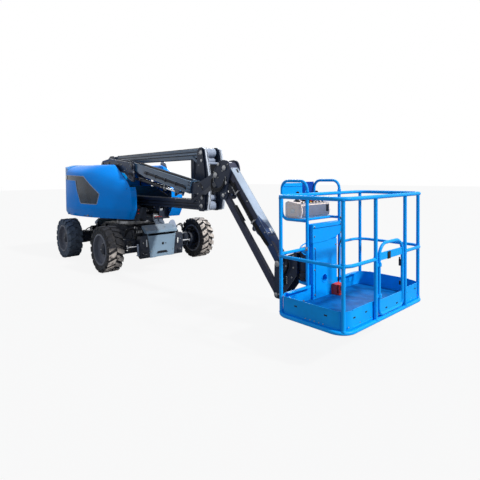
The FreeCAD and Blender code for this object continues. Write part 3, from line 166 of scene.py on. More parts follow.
BARE = srgb(130, 136, 146)
# Lighter azure on the edges of the platform paint: painted highlight
AZURE_EDGE_HIGHLIGHT = srgb(60, 200, 255)
M = {
    "platform_blue": finish("platform_blue_paint", srgb(4, 160, 246), 0.36, vary=0.05, edge=AZURE_EDGE_HIGHLIGHT,
                            edge_share=0.25, bump=0.02, spec=0.14),
    "floor_blue": finish("deck_blue_paint", srgb(4, 158, 242), 0.45, vary=0.08, vary_scale=5.0, bump=0.06,
                         spec=0.12),
    "hood_blue": finish("hood_blue_gloss", srgb(2, 146, 250), 0.16, coat=0.05, vary=0.04, bump=0.005,
    grain=300.0,
                        spec=0.06),
    "boom_dark": finish("boom_dark_paint", srgb(42, 52, 72), 0.32, coat=0.06, vary=0.14, dust=0.06, edge=BARE,
                        edge_share=0.45, bump=0.03),
    # Pale grey of the bars along the upper arm, boom, upright and jib edges: painted highlight on those edges
    "arm_highlight": finish("arm_highlight_paint", srgb(120, 138, 158), 0.30, coat=0.15, vary=0.10,
    edge=srgb(200, 208, 216),
                        bump=0.03, spec=0.4),
    "arm_gloss": finish("arm_gloss_paint", srgb(60, 92, 122), 0.24, coat=0.25, vary=0.12, dust=0.04,
    edge=BARE,
                        edge_share=0.45, bump=0.02, spec=0.4),
    "flange": finish("flange_pale_paint", srgb(196, 204, 216), 0.34, coat=0.1, vary=0.08, bump=0.03),
    "jib_dark": finish("jib_dark_paint", srgb(58, 62, 82), 0.34, coat=0.06, vary=0.10, edge=BARE,
                       edge_share=0.45, bump=0.03),
    "tread_blue": finish("tread_blue_paint", srgb(10, 100, 170), 0.5, vary=0.2, vary_scale=9.0, bump=0.05,
    spec=0.12),
    # Pale grey of the jib's top face: painted highlight of the light falling on it; its sides are the dark paint
    "jib_lit_top": finish("jib_top_paint", srgb(166, 180, 198), 0.36, coat=0.05, vary=0.12, bump=0.03),
    "console_face": finish("console_face_grey", srgb(116, 122, 138), 0.50, vary=0.14, grain=380.0, bump=0.15),
    # Deep blue of the guard sheet's dark part and the panel's fold lines: painted shade
    "painted_shade_blue": finish("deep_blue_paint", srgb(4, 62, 160), 0.40, vary=0.06, bump=0.03, spec=0.1),
    "jib_navy": finish("jib_navy_paint", srgb(44, 68, 110), 0.36, coat=0.06, vary=0.10, edge=BARE,
    edge_share=0.4,
                       bump=0.03),
    "chassis_dark": finish("chassis_dark_paint", srgb(36, 44, 58), 0.42, vary=0.16, dust=0.22, splash=0.18,
                           edge=BARE, edge_share=0.4, bump=0.05),
    "cover_grey": finish("cover_grey_paint", srgb(128, 152, 172), 0.40, coat=0.05, vary=0.08, dust=0.80,
    splash=0.10,
                         edge=srgb(205, 215, 220)),
    "counterweight": finish("cast_blue_paint", srgb(4, 142, 224), 0.26, coat=0.05, vary=0.06, grain=60.0,
    bump=0.04,
                            spec=0.07),
    # Blue-grey of the rear tyres and sidewall ribs: dark rubber lifted by a painted bluish highlight
    "tyre": finish("tyre_rubber_with_painted_highlight", srgb(82, 94, 110), 0.78, vary=0.25, vary_scale=9.0, grain=130.0, bump=0.35,
                   splash=0.16, round_m=0.006),
    "rim": finish("rim_dark_paint", srgb(108, 112, 124), 0.42, vary=0.12, splash=0.22, edge=BARE,
                  edge_share=0.4),
    "steel": finish("machined_steel", srgb(160, 162, 166), 0.30, metal=0.95, vary=0.14, grain=400.0,
    bump=0.05,
                    spec=0.5),
    "zinc": finish("zinc_fastener", srgb(150, 152, 154), 0.38, metal=0.8, vary=0.18, grain=300.0, spec=0.5),
    "barrel": finish("cylinder_black_paint", srgb(26, 31, 44), 0.30, coat=0.10, vary=0.12, dust=0.06,
    edge=BARE,
                     edge_share=0.4),
    "chrome": finish("hard_chrome", srgb(222, 224, 228), 0.10, metal=1.0, vary=0.03, grain=500.0, bump=0.01,
                     spec=0.5),
    # Black rubber; also the dark strips and blocks that are painted shade in the arms' grooves and in slots
    "rubber": finish("black_rubber", srgb(20, 22, 28), 0.62, vary=0.2, grain=160.0, bump=0.12),
    "hose": finish("hose_rubber", srgb(20, 22, 28), 0.45, vary=0.2, grain=500.0, bump=0.25),
    "plastic": finish("black_plastic", srgb(24, 26, 32), 0.45, vary=0.12, grain=420.0, bump=0.15),
    "console": finish("console_warm_grey", srgb(246, 226, 214), 0.52, vary=0.12, grain=380.0, bump=0.15,
                      edge=srgb(210, 206, 198)),
    "red": finish("red_guard", srgb(226, 62, 52), 0.42, vary=0.10, grain=300.0, bump=0.08, dust=0.1),
    "plate": finish("blank_plate", srgb(224, 226, 224), 0.35, vary=0.05),
    "engine": finish("engine_paint", srgb(92, 94, 98), 0.55, vary=0.2, bump=0.12),
    "yellow": finish("yellow_cap", srgb(214, 170, 40), 0.45, vary=0.12),
    "pale": finish("pale_grey_paint", srgb(150, 162, 182), 0.36, coat=0.1, vary=0.10,
    edge=srgb(215, 218, 224),
                   dust=0.10),
    "amber": finish("amber_lens", srgb(226, 120, 22), 0.18, coat=0.5, vary=0.06),
}

LUG_FLOOR = 0.402       # radius past which rubber is a lug's top, in metres
LUG_EDGE = 0.009        # how far out the pale tone of dust and painted light comes in fully
LUG_DUST_AND_LIGHT = 0.9          # how much of the lugs' tops the pale tone covers, dust and painted light
SHEET_HEIGHT = (0.395, 0.388)  # the floor sheet lies below these heights, in metres


def lit_dusty_tyre(name, x, low_z, high_z):
    """Tyre rubber whose lug tops carry a pale tone below a height, fading out between the two heights: dry dust,
    and painted light where the height reaches the top of a lit tread.
    """
    mat = finish(name, srgb(28, 30, 36), 0.80, vary=0.25, vary_scale=9.0, grain=130.0, bump=0.35, splash=0.22,
                 round_m=0.006, sheen=0.1)
    tree = mat.node_tree
    base = tree.nodes["Principled BSDF"].inputs["Base Color"]
    rubber = base.links[0].from_socket
    spot = node(tree, "TexCoord").outputs["Object"]
    flat = maths(tree, "MULTIPLY_ADD", spot, (1.0, 0.0, 1.0), (-at(x, 0, 0)[0], 0.0, -AXLE_HEIGHT),
                 kind="VectorMath")
    radius = maths(tree, "LENGTH", flat, kind="VectorMath", output="Value")
    top = ramp(tree, radius, LUG_FLOOR, LUG_FLOOR + LUG_EDGE)
    low = ramp(tree, part_of(tree, spot, 2), high_z, low_z)
    patch = noise(tree, spot, 11.0, 7.0, 0.7)
    film = multiply(tree, multiply(tree, top, low), ramp(tree, patch, 0.36, 0.50))
    tone = blended(tree, ramp(tree, patch, 0.45, 0.7), srgb(190, 180, 172), srgb(228, 220, 212))
    feed(tree, base, blended(tree, multiply(tree, film, LUG_DUST_AND_LIGHT), rubber, tone))
    return mat


def smoked():
    """Dark see-through panel of the hoods' windows."""
    mat = finish("smoked_panel", srgb(52, 68, 84), 0.12, coat=0.2, vary=0.30, vary_scale=5.0, bump=0.004,
            spec=0.3)
    shader = mat.node_tree.nodes["Principled BSDF"]
    shader.inputs["Transmission Weight"].default_value = 0.25
    shader.inputs["IOR"].default_value = 1.45
    return mat


def deck():
    """Platform's paint on the toe boards, darker on the floor sheet in blotches that are painted shadow of the
    rails.
    """
    tree = M["floor_blue"].node_tree
    base = tree.nodes["Principled BSDF"].inputs["Base Color"]
    painted = base.links[0].from_socket
    place = node(tree, "TexCoord")
    spot = place.outputs["Object"]
    level = ramp(tree, part_of(tree, place.outputs["Normal"], 2), 0.80, 0.95)
    sheet = multiply(tree, level, ramp(tree, part_of(tree, spot, 2), *SHEET_HEIGHT))
    # Two blues blotched by noise on the floor sheet: painted shadow of the rails
    tone = blended(tree, ramp(tree, noise(tree, spot, 6.0, 6.0, 0.7), 0.35, 0.65), srgb(5, 86, 150),
            srgb(6, 116, 190))
    feed(tree, base, blended(tree, sheet, painted, tone))


deck()
M["window"] = smoked()
# Near tyre: the pale tone is dust on the lower tread. Far tyre: it reaches the top as painted light on its lit
# tread
M["tyre_near"] = lit_dusty_tyre("tyre_near_rubber", AXLE_X, 0.36, 0.50)
M["tyre_far"] = lit_dusty_tyre("tyre_far_rubber", AXLE_X, 0.80, 1.00)

NODE_FINISH = (
    ("tyre_front_right", "tyre_near"), ("tyre_front_left", "tyre_far"), ("tyre_*", "tyre"), ("rim_*", "rim"),
    ("chassis_covers", "cover_grey"), ("slew_ring", "steel"), ("steer_rod", "chrome"),
    ("hood_window_*", "window"), ("hood_*", "hood_blue"), ("counterweight", "counterweight"),
    ("engine_block", "engine"), ("*_cylinder_barrel", "barrel"), ("*_cylinder_rod", "chrome"),
    ("control_console", "console"), ("foot_switch", "red"), ("platform_floor", "floor_blue"),
    ("platform_bracket", "boom_dark"), ("platform_*", "platform_blue"), ("mount_panel", "platform_blue"),
    ("console_guard", "platform_blue"), ("chassis_*", "chassis_dark"), ("*_axle", "chassis_dark"),
    ("steer_knuckle_*", "chassis_dark"), ("turntable_frame", "chassis_dark"), ("upper_arm", "arm_gloss"),
    ("boom_outer", "arm_gloss"), ("upper_link", "arm_gloss"), ("jib_beam", "jib_dark"),
    ("jib_link", "jib_dark"),
    ("*", "boom_dark"),
)
CAD_SHARP = 32           # edges of CAD nodes and of the scene's own pieces that turn more stay sharp, in degrees
PIECE_SHARP = 34


def sharpen(mesh, degrees):
    """Smooth shading with edges kept where faces turn by more than the angle."""
    bm = bmesh.new()
    bm.from_mesh(mesh)
    limit = math.radians(degrees)
    smooth = [len(e.link_faces) == 2 and e.calc_face_angle(0.0) < limit for e in bm.edges]
    bm.free()
    mesh.polygons.foreach_set("use_smooth", [True] * len(mesh.polygons))
    mesh.edges.foreach_set("use_edge_sharp", [not flag for flag in smooth])
    mesh.update()


for name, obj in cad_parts.items():
    kind = next(k for pattern, k in NODE_FINISH if fnmatch.fnmatch(name, pattern))
    obj.data.materials.clear()
    obj.data.materials.append(M[kind])
    sharpen(obj.data, CAD_SHARP)


# Shapes added to a piece's mesh, all in the machine's mm

BOTH = (-1, 1)           # right and left of the machine, as signs of y
SIDES = (("left", 1), ("right", -1))
PIECES = {}
USUAL_SLOT = {
    "amber": "hood_blue", "arm_highlight": "boom_dark", "barrel": "cylinder_barrel", "boom_dark": "boom_dark",
    "chassis_dark": "chassis_dark", "console": "console", "console_face": "console",
    "cover_grey": "cover_grey", "painted_shade_blue": "platform_blue", "flange": "boom_dark",
    "hood_blue": "hood_blue", "hose": "window_dark", "jib_dark": "boom_dark", "jib_navy": "boom_dark",
    "jib_lit_top": "boom_dark", "pale": "hood_blue", "plastic": "window_dark", "plate": "console",
    "platform_blue": "platform_blue", "red": "switch_red", "rim": "rim", "rubber": "window_dark",
    "steel": "steel", "tread_blue": "platform_blue", "tyre": "tyre", "window": "window_dark",
    "yellow": "console", "zinc": "steel",
}


def piece(name, body, kind, slot=None, replaces=()):
    """Starts a piece on a body, with its finish; the slot is the finish's usual one if none is given."""
    bm = bmesh.new()
    PIECES[name] = (bm, body, kind, slot or USUAL_SLOT[kind], replaces)
    return bm


def basis(direction):
    """Rotation that takes Z to the direction."""
    return Vector(direction).normalized().to_track_quat("Z", "Y").to_matrix().to_4x4()


def block(bm, x, y, z, bevel=3.0):
    made = bmesh.ops.create_cube(bm, size=1.0)["verts"]
    size = Vector(((x[1] - x[0]) / 1000, (y[1] - y[0]) / 1000, (z[1] - z[0]) / 1000))
    centre = at((x[0] + x[1]) / 2, (y[0] + y[1]) / 2, (z[0] + z[1]) / 2)
    bmesh.ops.transform(bm, matrix=Matrix.Translation(centre) @ Matrix.Diagonal((*size, 1.0)), verts=made)
    soften(bm, made, bevel)


def soften(bm, made, bevel):
    if bevel:
        edges = {e for v in made for e in v.link_edges}
        bmesh.ops.bevel(bm, geom=list(edges), offset=bevel / 1000, segments=2, profile=0.6, affect="EDGES")


def lathe(bm, base, direction, profile, steps=32):
    """Turned form: (distance along, radius) pairs from the base, in mm."""
    turn = Matrix.Translation(at(*base)) @ basis(direction) @ Matrix.Scale(0.001, 4)
    rings = []
    for along, radius in profile:
        ring = []
        for k in range(steps if radius > 0 else 1):
            a = k * math.tau / steps
            ring.append(bm.verts.new(turn @ Vector((radius * math.cos(a), radius * math.sin(a), along))))
        rings.append(ring)
    for a, b in zip(rings, rings[1:]):
        for k in range(steps):
            j = (k + 1) % steps
            if len(a) == 1:
                bm.faces.new((a[0], b[k], b[j]))
            elif len(b) == 1:
                bm.faces.new((a[k], a[j], b[0]))
            else:
                bm.faces.new((a[k], a[j], b[j], b[k]))


def knob(bm, base, direction, radius, height, lip=2.0, steps=28):
    """Pin head, boss or cap with a softened rim."""
    lathe(bm, base, direction, [(0, 0), (0, radius), (height - lip, radius),
            (height - lip * 0.3, radius - lip * 0.3),
                                (height, radius - lip), (height, 0)], steps)


def bolt(bm, base, direction, size=10.0):
    """Washer with a hexagon head on it."""
    washer = [(-2, 0), (-2, size * 1.05), (size * 0.2, size * 1.05), (size * 0.25, size), (size * 0.25, 0)]
    head = [(size * along, size * radius) for along, radius in
            ((0.2, 0.3), (0.2, 0.86), (0.75, 0.86), (0.85, 0.7), (0.85, 0))]
    lathe(bm, base, direction, washer, 18)
    lathe(bm, base, direction, head, 6)


def bolts_on_sides(bm, spots, half_y, size, middle=0.0):
    """Bolts at (x, z) spots on both sides of a body."""
    for x, z in spots:
        for sign in BOTH:
            bolt(bm, (x, middle + sign * half_y, z), (0, sign, 0), size)


def pins_on_sides(bm, pins, height, lip, middle=0.0):
    """Pin heads on both sides of a body, from (x, z, half width, radius)."""
    for x, z, half_y, radius in pins:
        for sign in BOTH:
            knob(bm, (x, middle + sign * half_y, z), (0, sign, 0), radius, height, lip)


def bolt_ring(bm, centre, direction, radius, count, size, start=0.0):
    turn = basis(direction)
    for k in range(count):
        a = start + k * math.tau / count
        off = turn @ Vector((radius * math.cos(a), radius * math.sin(a), 0))
        bolt(bm, [c + o for c, o in zip(centre, off)], direction, size)


def smooth_path(points, steps=8):
    """Points on a smooth line through the given ones."""
    p = [Vector(q) for q in points]
    p = [2 * p[0] - p[1]] + p + [2 * p[-1] - p[-2]]
    out = []
    for i in range(1, len(p) - 2):
        for k in range(steps):
            t = k / steps
            out.append(0.5 * (2 * p[i] + (p[i + 1] - p[i - 1]) * t
                              + (2 * p[i - 1] - 5 * p[i] + 4 * p[i + 1] - p[i + 2]) * t * t
                              + (3 * p[i] - p[i - 1] - 3 * p[i + 1] + p[i + 2]) * t ** 3))
    return out + [p[-2]]


def bar(bm, points, radius, steps=12, curved=False):
    """Round tube along points, closed at both ends."""
    path = smooth_path(points) if curved else [Vector(q) for q in points]
    sides = []
    up = None
    for i, q in enumerate(path):
        along = (path[min(i + 1, len(path) - 1)] - path[max(i - 1, 0)]).normalized()
        if up is None:
            up = along.orthogonal().normalized()
        up = (up - along * up.dot(along)).normalized()
        across = along.cross(up)
        stretch = 1.0
        if 0 < i < len(path) - 1:
            half = (path[i] - path[i - 1]).normalized().dot(along)
            stretch = 1 / max(0.5, half)
        ring = []
        for k in range(steps):
            a = k * math.tau / steps
            ring.append(bm.verts.new(at(*(q + (up * math.cos(a) + across * math.sin(a)) * radius * stretch))))
        sides.append(ring)
    for a, b in zip(sides, sides[1:]):
        for k in range(steps):
            bm.faces.new((a[k], a[(k + 1) % steps], b[(k + 1) % steps], b[k]))
    for ring in (sides[0], sides[-1]):
        bm.faces.new(ring)


def hose(bm, points, radius=8):
    """Smooth round line through the points."""
    bar(bm, points, radius, 8, True)


def plate(bm, points, thick, bevel=1.5):
    """Flat plate from corner points in space, thickened towards the side they run counterclockwise on."""
    verts = [bm.verts.new(at(*p)) for p in points]
    face = bm.faces.new(verts)
    face.normal_update()
    shift = face.normal * thick / 1000
    far = [bm.verts.new(v.co + shift) for v in verts]
    bm.faces.new(far[::-1])
    for k in range(len(verts)):
        j = (k + 1) % len(verts)
        bm.faces.new((verts[j], verts[k], far[k], far[j]))
    soften(bm, verts + far, bevel)


def turned(along, up, down, x, z):
    """A point along and above a line that slopes down, as (x, z)."""
    a = math.radians(down)
    return x + along * math.cos(a) + up * math.sin(a), z - along * math.sin(a) + up * math.cos(a)


def close_all():
    """Turns every piece's mesh into an object that rides on its body."""
    for name, (bm, body, kind, slot, replaces) in PIECES.items():
        bmesh.ops.recalc_face_normals(bm, faces=bm.faces)
        mesh = bpy.data.meshes.new(name)
        bm.to_mesh(mesh)
        bm.free()
        sharpen(mesh, PIECE_SHARP)
        mesh.materials.append(M[kind])
        obj = bpy.data.objects.new(name, mesh)
        bpy.context.scene.collection.objects.link(obj)
        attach(obj, body)
        if replaces:
            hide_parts(*replaces)

# Wheels: hub drive, nuts, valve and sidewall ribs on each

DISC_Y = 1045.0          # wheel disc's outer face
SIDEWALL_Y = 1146.0      # where the tyre's sidewall is widest
LUG_COUNT = 18
for corner, end, sign in (("front_left", 1, 1), ("front_right", 1, -1), ("rear_left", -1, 1),
        ("rear_right", -1, -1)):
    body = "wheel_" + corner
    x = end * AXLE_X
    out = (0, sign, 0)
    bm = piece("hub_" + corner, body, "chassis_dark")
    lathe(bm, (x, sign * (DISC_Y + 6), AXLE_Z), out, [
        (0, 0), (0, 98), (16, 98), (22, 92), (40, 88), (46, 76), (52, 66), (54, 46), (60, 42), (60, 0)], 40)
    bolt_ring(bm, (x, sign * (DISC_Y + 48), AXLE_Z), out, 60, 6, 7)
    bm = piece("hub_nuts_" + corner, body, "zinc")
    bolt_ring(bm, (x, sign * (DISC_Y + 3), AXLE_Z), out, 118, 9, 17, 0.2)
    bolt(bm, (x, sign * (DISC_Y + 65), AXLE_Z), out, 15)
    bar(bm, [(x + 150, sign * (DISC_Y + 8), AXLE_Z + 150), (x + 160, sign * (DISC_Y + 50), AXLE_Z + 158)], 6)
    bm = piece("rim_ring_" + corner, body, "rim")
    lathe(bm, (x, sign * (SIDEWALL_Y - 10), AXLE_Z), out, [
        (-4, 252), (6, 256), (12, 266), (12, 276), (6, 285), (-4, 285)], 56)
    bm = piece("tyre_ribs_" + corner, body, "tyre")
    for ring in (0, 1):
        r = 308 + ring * 14
        lathe(bm, (x, sign * SIDEWALL_Y, AXLE_Z), out, [(-7, r - 3), (-3 + ring, r - 1), (-3 + ring, r + 2),
                (-7, r + 5)], 72)
    for k in range(LUG_COUNT * 2):
        a = (k + 0.5) * math.tau / LUG_COUNT / 2
        low = Vector((x + math.cos(a) * 326, sign * (SIDEWALL_Y - 2), AXLE_Z + math.sin(a) * 326))
        high = Vector((x + math.cos(a) * 352, sign * (SIDEWALL_Y + 2), AXLE_Z + math.sin(a) * 352))
        bar(bm, [low, high], 6, 6)

# Hoods: a smooth skin over the CAD shells, panes, trims and fastenings

HOOD_LOW = 920.0
HOOD_INNER_Y = 562.0
HOOD_LEVELS = (
    (920.0, (-870.0, 985.0), (-300.0, 950.0), (290.0, 812.0), (985.0, 548.0)),
    (1100.0, (-935.0, 1060.0), (-300.0, 1018.0), (313.0, 851.0), (1080.0, 563.0)),
    (2045.0, (-935.0, 1045.0), (-300.0, 1000.0), (313.0, 835.0), (1070.0, 555.0)),
)
HOOD_LIPS = (985.0, 1050.0, 1045.0)
# Lines along the machine, as (x, height) pairs: where the side leans in softly, where it leans in steeply, and
# where the roof falls to the nose
SOFT_FOLD = ((-935.0, 1850.0), (-250.0, 1800.0), (0.0, 1735.0), (300.0, 1690.0), (800.0, 1560.0),
        (1060.0, 1500.0))
STEEP_FOLD = ((-935.0, 1900.0), (0.0, 1850.0), (300.0, 1800.0), (800.0, 1640.0), (1060.0, 1560.0))
NOSE_FALL = ((380.0, 1985.0), (800.0, 1712.0), (1100.0, 1590.0), (1300.0, 1540.0))
SOFT_LEAN = math.radians(22)
STEEP_LEAN = math.radians(48)
FOLD_Z = 1700.0          # height of the wall's line that both folds start from
SHAPE_BLEND = 56.0       # how far the hood's faces run into each other, and into its front
FRONT_BLEND = 34.0
HALVINGS = 16            # steps to find the hood's face along a ray
CUT_Y = (600, 1200)      # reach of the window cutters across the hood's side
WINDOW = ((-458, 1660, 20), (-395, 1462, 60), (-251, 1197, 25), (233, 1190, 25), (297, 1392, 25),
        (164, 1491, 60),
          (-174, 1740, 30), (-910, 1770, 12), (-910, 1685, 12))


def mix(pairs, x):
    """Value at x on the line through (x, value) pairs."""
    for (a, va), (b, vb) in zip(pairs, pairs[1:]):
        if x <= b:
            return va + (vb - va) * max(0.0, (x - a) / (b - a))
    return pairs[-1][1]


def arc_y(a, b, c, x):
    """Height at x of the circle through three plan points."""
    (x1, y1), (x2, y2), (x3, y3) = a, b, c
    d = 2 * (x1 * (y2 - y3) + x2 * (y3 - y1) + x3 * (y1 - y2))
    q1, q2, q3 = x1 * x1 + y1 * y1, x2 * x2 + y2 * y2, x3 * x3 + y3 * y3
    cx = (q1 * (y2 - y3) + q2 * (y3 - y1) + q3 * (y1 - y2)) / d
    cy = (q1 * (x3 - x2) + q2 * (x1 - x3) + q3 * (x2 - x1)) / d
    r = math.hypot(x1 - cx, y1 - cy)
    return cy + math.sqrt(max(0.0, r * r - (x - cx) ** 2))


def by_level(values, z):
    return mix([(level[0], v) for level, v in zip(HOOD_LEVELS, values)], z)


def wall_y(x, z):
    """Hood's outer side at a length and a height."""
    found = []
    for level in HOOD_LEVELS:
        rear, middle, end, corner = level[1:]
        if x < end[0]:
            found.append(arc_y(rear, middle, end, x))
        else:
            found.append(end[1] + (corner[1] - end[1]) * (x - end[0]) / (corner[0] - end[0]))
    return by_level(found, z)


def smooth_max(values, reach):
    top = values[0]
    for v in values[1:]:
        h = max(0.0, reach - abs(top - v)) / reach
        top = max(top, v) + h * h * reach / 4
    return top


def roof_z(x, y):
    share = (x + 1320) / 2640
    line = [(300.0, 1996 - 8 * share), (880 - 280 * share, 1988 - 13 * share), (1040.0, 1925 - 285 * share),
            (1250.0, 1830 - 290 * share)]
    return mix(line, y)


def hood_field(x, y, z, inset):
    """Below zero inside the hood's form."""
    corner = by_level([level[4][0] for level in HOOD_LEVELS], z)
    lip = by_level(HOOD_LIPS, z)
    front = lip + (corner - lip) * min(1.0, max(0.0, (y - 450) / 110))
    side = y - wall_y(x, z)
    folds = [(y - wall_y(x, FOLD_Z)) * math.cos(lean) + (z - mix(line, x)) * math.sin(lean)
             for line, lean in ((SOFT_FOLD, SOFT_LEAN), (STEEP_FOLD, STEEP_LEAN))]
    nose = (z - mix(NOSE_FALL, x)) * 0.86
    shape = smooth_max([side, *folds, (z - roof_z(x, y)) * 0.9, nose], SHAPE_BLEND)
    return smooth_max([shape, (x - front) * 0.97], FRONT_BLEND) + inset


def hood_point(origin, way, inset):
    near, far = 0.0, 1600.0
    for _ in range(HALVINGS):
        half = (near + far) / 2
        if hood_field(*(origin + way * half), inset) < 0:
            near = half
        else:
            far = half
    return origin + way * near


def hood_grid(inset, stop=2000.0, rows=40):
    """Rows of points over the hood's outside, from its foot to its roof's inner edge."""
    columns = []
    along_side = [(-932 + i * 46, 0.0) for i in range(38)]
    round_corner = [(770.0 + i * 3, 6.0 + i * 7) for i in range(12)] + [(810.0, 90.0)]
    for x, turn in [pair for pair in along_side + round_corner if pair[0] < stop]:
        origin = Vector((x, HOOD_INNER_Y, 1400))
        a = math.radians(turn)

        def ray(lift):
            return Vector((math.sin(a) * math.cos(lift), math.cos(a) * math.cos(lift), math.sin(lift)))

        low, high = -1.5, 0.0
        for _ in range(13):
            half = (low + high) / 2
            if hood_point(origin, ray(half), inset)[2] < HOOD_LOW:
                low = half
            else:
                high = half
        lifts = [high + (math.pi / 2 - high) * (k / rows) for k in range(rows + 1)]
        columns.append([hood_point(origin, ray(lift), inset) for lift in lifts])
    return columns


def skin(bm, columns, thick, sign):
    """Sheet over the grid, thickened inwards."""
    grid = [[bm.verts.new(at(q[0], sign * q[1], q[2])) for q in column] for column in columns]
    faces = []
    for a, b in zip(grid, grid[1:]):
        for k in range(len(a) - 1):
            loop = (a[k], b[k], b[k + 1], a[k + 1]) if sign > 0 else (a[k], a[k + 1], b[k + 1], b[k])
            faces.append(bm.faces.new(loop))
    bm.normal_update()
    bmesh.ops.solidify(bm, geom=faces, thickness=thick / 1000)


def rounded(points, segments=6):
    """Corner points with radii, as a smooth outline."""
    out = []
    n = len(points)
    for i, (x, z, r) in enumerate(points):
        here = Vector((x, z))
        before = (Vector(points[i - 1][:2]) - here).normalized()
        after = (Vector(points[(i + 1) % n][:2]) - here).normalized()
        reach = r / math.tan(before.angle(after) / 2)
        p, q = here + before * reach, here + after * reach
        for k in range(segments + 1):
            t = k / segments
            out.append(p * (1 - t) ** 2 + here * 2 * t * (1 - t) + q * t * t)
    return out


def grown(points, by):
    """The outline moved outwards."""
    n = len(points)
    area = sum(points[i - 1][0] * points[i][1] - points[i][0] * points[i - 1][1] for i in range(n))
    way = 1 if area > 0 else -1
    out = []
    for i in range(n):
        along = (Vector(points[(i + 1) % n]) - Vector(points[i - 1])).normalized()
        out.append((points[i][0] + along[1] * by * way, points[i][1] - along[0] * by * way))
    return out


def prism(points, sign):
    """Form with an upright outline through the hood's side, as a cutter."""
    bm = bmesh.new()
    low, high = ([bm.verts.new(at(x, sign * y, z)) for x, z in points] for y in CUT_Y)
    bm.faces.new(low)
    bm.faces.new(high)
    for i in range(len(points)):
        j = (i + 1) % len(points)
        bm.faces.new((low[i], low[j], high[j], high[i]))
    bmesh.ops.recalc_face_normals(bm, faces=bm.faces)
    mesh = bpy.data.meshes.new("cutter")
    bm.to_mesh(mesh)
    bm.free()
    return bpy.data.objects.new("cutter", mesh)


def cut_mesh(bm, outline, sign, operation):
    """Cuts or trims the bmesh by a prism through the hood's side."""
    cutter = prism(outline, sign)
    bmesh.ops.recalc_face_normals(bm, faces=bm.faces)
    mesh = bpy.data.meshes.new("work")
    bm.to_mesh(mesh)
    work = bpy.data.objects.new("work", mesh)
    for obj in (work, cutter):
        bpy.context.scene.collection.objects.link(obj)
    step = work.modifiers.new("cut", "BOOLEAN")
    step.object = cutter
    step.operation = operation
    step.solver = "EXACT"
    bpy.context.view_layer.update()
    done = bpy.data.meshes.new_from_object(work.evaluated_get(bpy.context.evaluated_depsgraph_get()))
    bm.clear()
    bm.from_mesh(done)
    for obj in (work, cutter):
        bpy.data.objects.remove(obj)


HOOD_COLUMNS = hood_grid(0.0)
PANE_COLUMNS = hood_grid(5.0, 380.0)
RIM_COLUMNS = hood_grid(-1.5, 380.0)
WINDOW_LINE = [tuple(p) for p in rounded(WINDOW)]
for side, sign in SIDES:
    body = "hood_" + side
    bm = piece("hood_skin_" + side, body, "hood_blue", replaces=(body,))
    skin(bm, HOOD_COLUMNS, 6, sign)
    cut_mesh(bm, WINDOW_LINE, sign, "DIFFERENCE")
    for x in (-720, 330):
        block(bm, (x - 20, x + 20), sorted((sign * 566, sign * 604)), (1925, 1968), 3)
    bm = piece("window_pane_" + side, body, "window", replaces=("hood_window_" + side,))
    skin(bm, PANE_COLUMNS, 5, sign)
    cut_mesh(bm, WINDOW_LINE, sign, "INTERSECT")
    bm = piece("window_rim_" + side, body, "pale")
    skin(bm, RIM_COLUMNS, 6, sign)
    cut_mesh(bm, grown(WINDOW_LINE, 9), sign, "INTERSECT")
    cut_mesh(bm, grown(WINDOW_LINE, -5), sign, "DIFFERENCE")

# Hood lips, rubber trims and small fittings

def on_wall(x, z, proud=0.0):
    """Outboard y of the hood's side, moved outwards."""
    return wall_y(x, z) + proud


LIP_TOP = 1530.0
LIP_LEAN = 0.13          # how far the lip goes back for each mm inwards
CROWN = ((-6, 0), (30, 1), (70, 10), (100, 30), (118, 66))  # (inwards, down) from the left hood's roof edge
CROWN_END = 905.0
for side, sign in SIDES:
    body = "hood_" + side
    corner = HOOD_COLUMNS[-1]
    lip_rows = [q for q in corner if q[2] <= LIP_TOP] + [Vector((1022, HOOD_INNER_Y, LIP_TOP))]
    lip = []
    for y in (HOOD_INNER_Y + 6, HOOD_INNER_Y - 20, 500.0, 450.0) + ((390.0, 330.0) if sign > 0 else ()):
        lip.append([Vector((q[0] - (HOOD_INNER_Y + 6 - y) * LIP_LEAN, y, q[2])) for q in lip_rows])
    bm = piece("hood_lip_" + side, body, "hood_blue")
    skin(bm, lip, 6, sign)
    if sign > 0:
        crown = [[column[-1] + Vector((0, -run, -drop)) for run, drop in CROWN]
                 for column in HOOD_COLUMNS if column[-1][0] < CROWN_END]
        skin(bm, crown, 6, sign)
    bm = piece("hood_trim_" + side, body, "rubber")
    upper = [q for q in corner if q[2] > LIP_TOP]
    roof_edge = [column[-1] for column in reversed(HOOD_COLUMNS)]
    edge = [q - Vector((3, 0, 0)) for q in lip[-1]] + upper + roof_edge[1:]
    path = [(q[0], sign * q[1], q[2]) for q in edge]
    split = len(lip[-1])
    bar(bm, path[:split], 9, 8)
    bar(bm, path[split:], 7, 8)
    bm = piece("hood_details_" + side, body, "plastic")
    seam = [(-720, sign * on_wall(-720, z, -1.0), z) for z in range(1104, 1236, 12)]
    bar(bm, seam, 3, 6)
    for x, z in ((-915, 1315), (-645, 1332), (-900, 1250), (-627, 1266)):
        knob(bm, (x, sign * on_wall(x, z, -2), z), (0, sign, 0), 12, 6, 2, 16)
    for x, z in ((-860, 1130), (700, 1130), (960, 1500)):
        knob(bm, (x, sign * on_wall(x, z, -2), z), (0.25 if x > 0 else 0, sign, 0), 8, 5, 1.5, 14)
    rear, front = [(x, sign * on_wall(x, 960, -2)) for x in (-236, 47)]
    plate(bm, [(*rear, 938), (*front, 938), (*front, 972), (*rear, 972)], -6 * sign, 1)
    bm = piece("hood_latch_" + side, body, "zinc")
    y = on_wall(-100, 955, 4)
    block(bm, (-124, -60), sorted((sign * (y - 6), sign * (y + 10))), (944, 966), 3)
    knob(bm, (-146, sign * (y - 4), 955), (0, sign, 0), 9, 8)

# Tail: smoked band round it, louvres, tie points and lamps

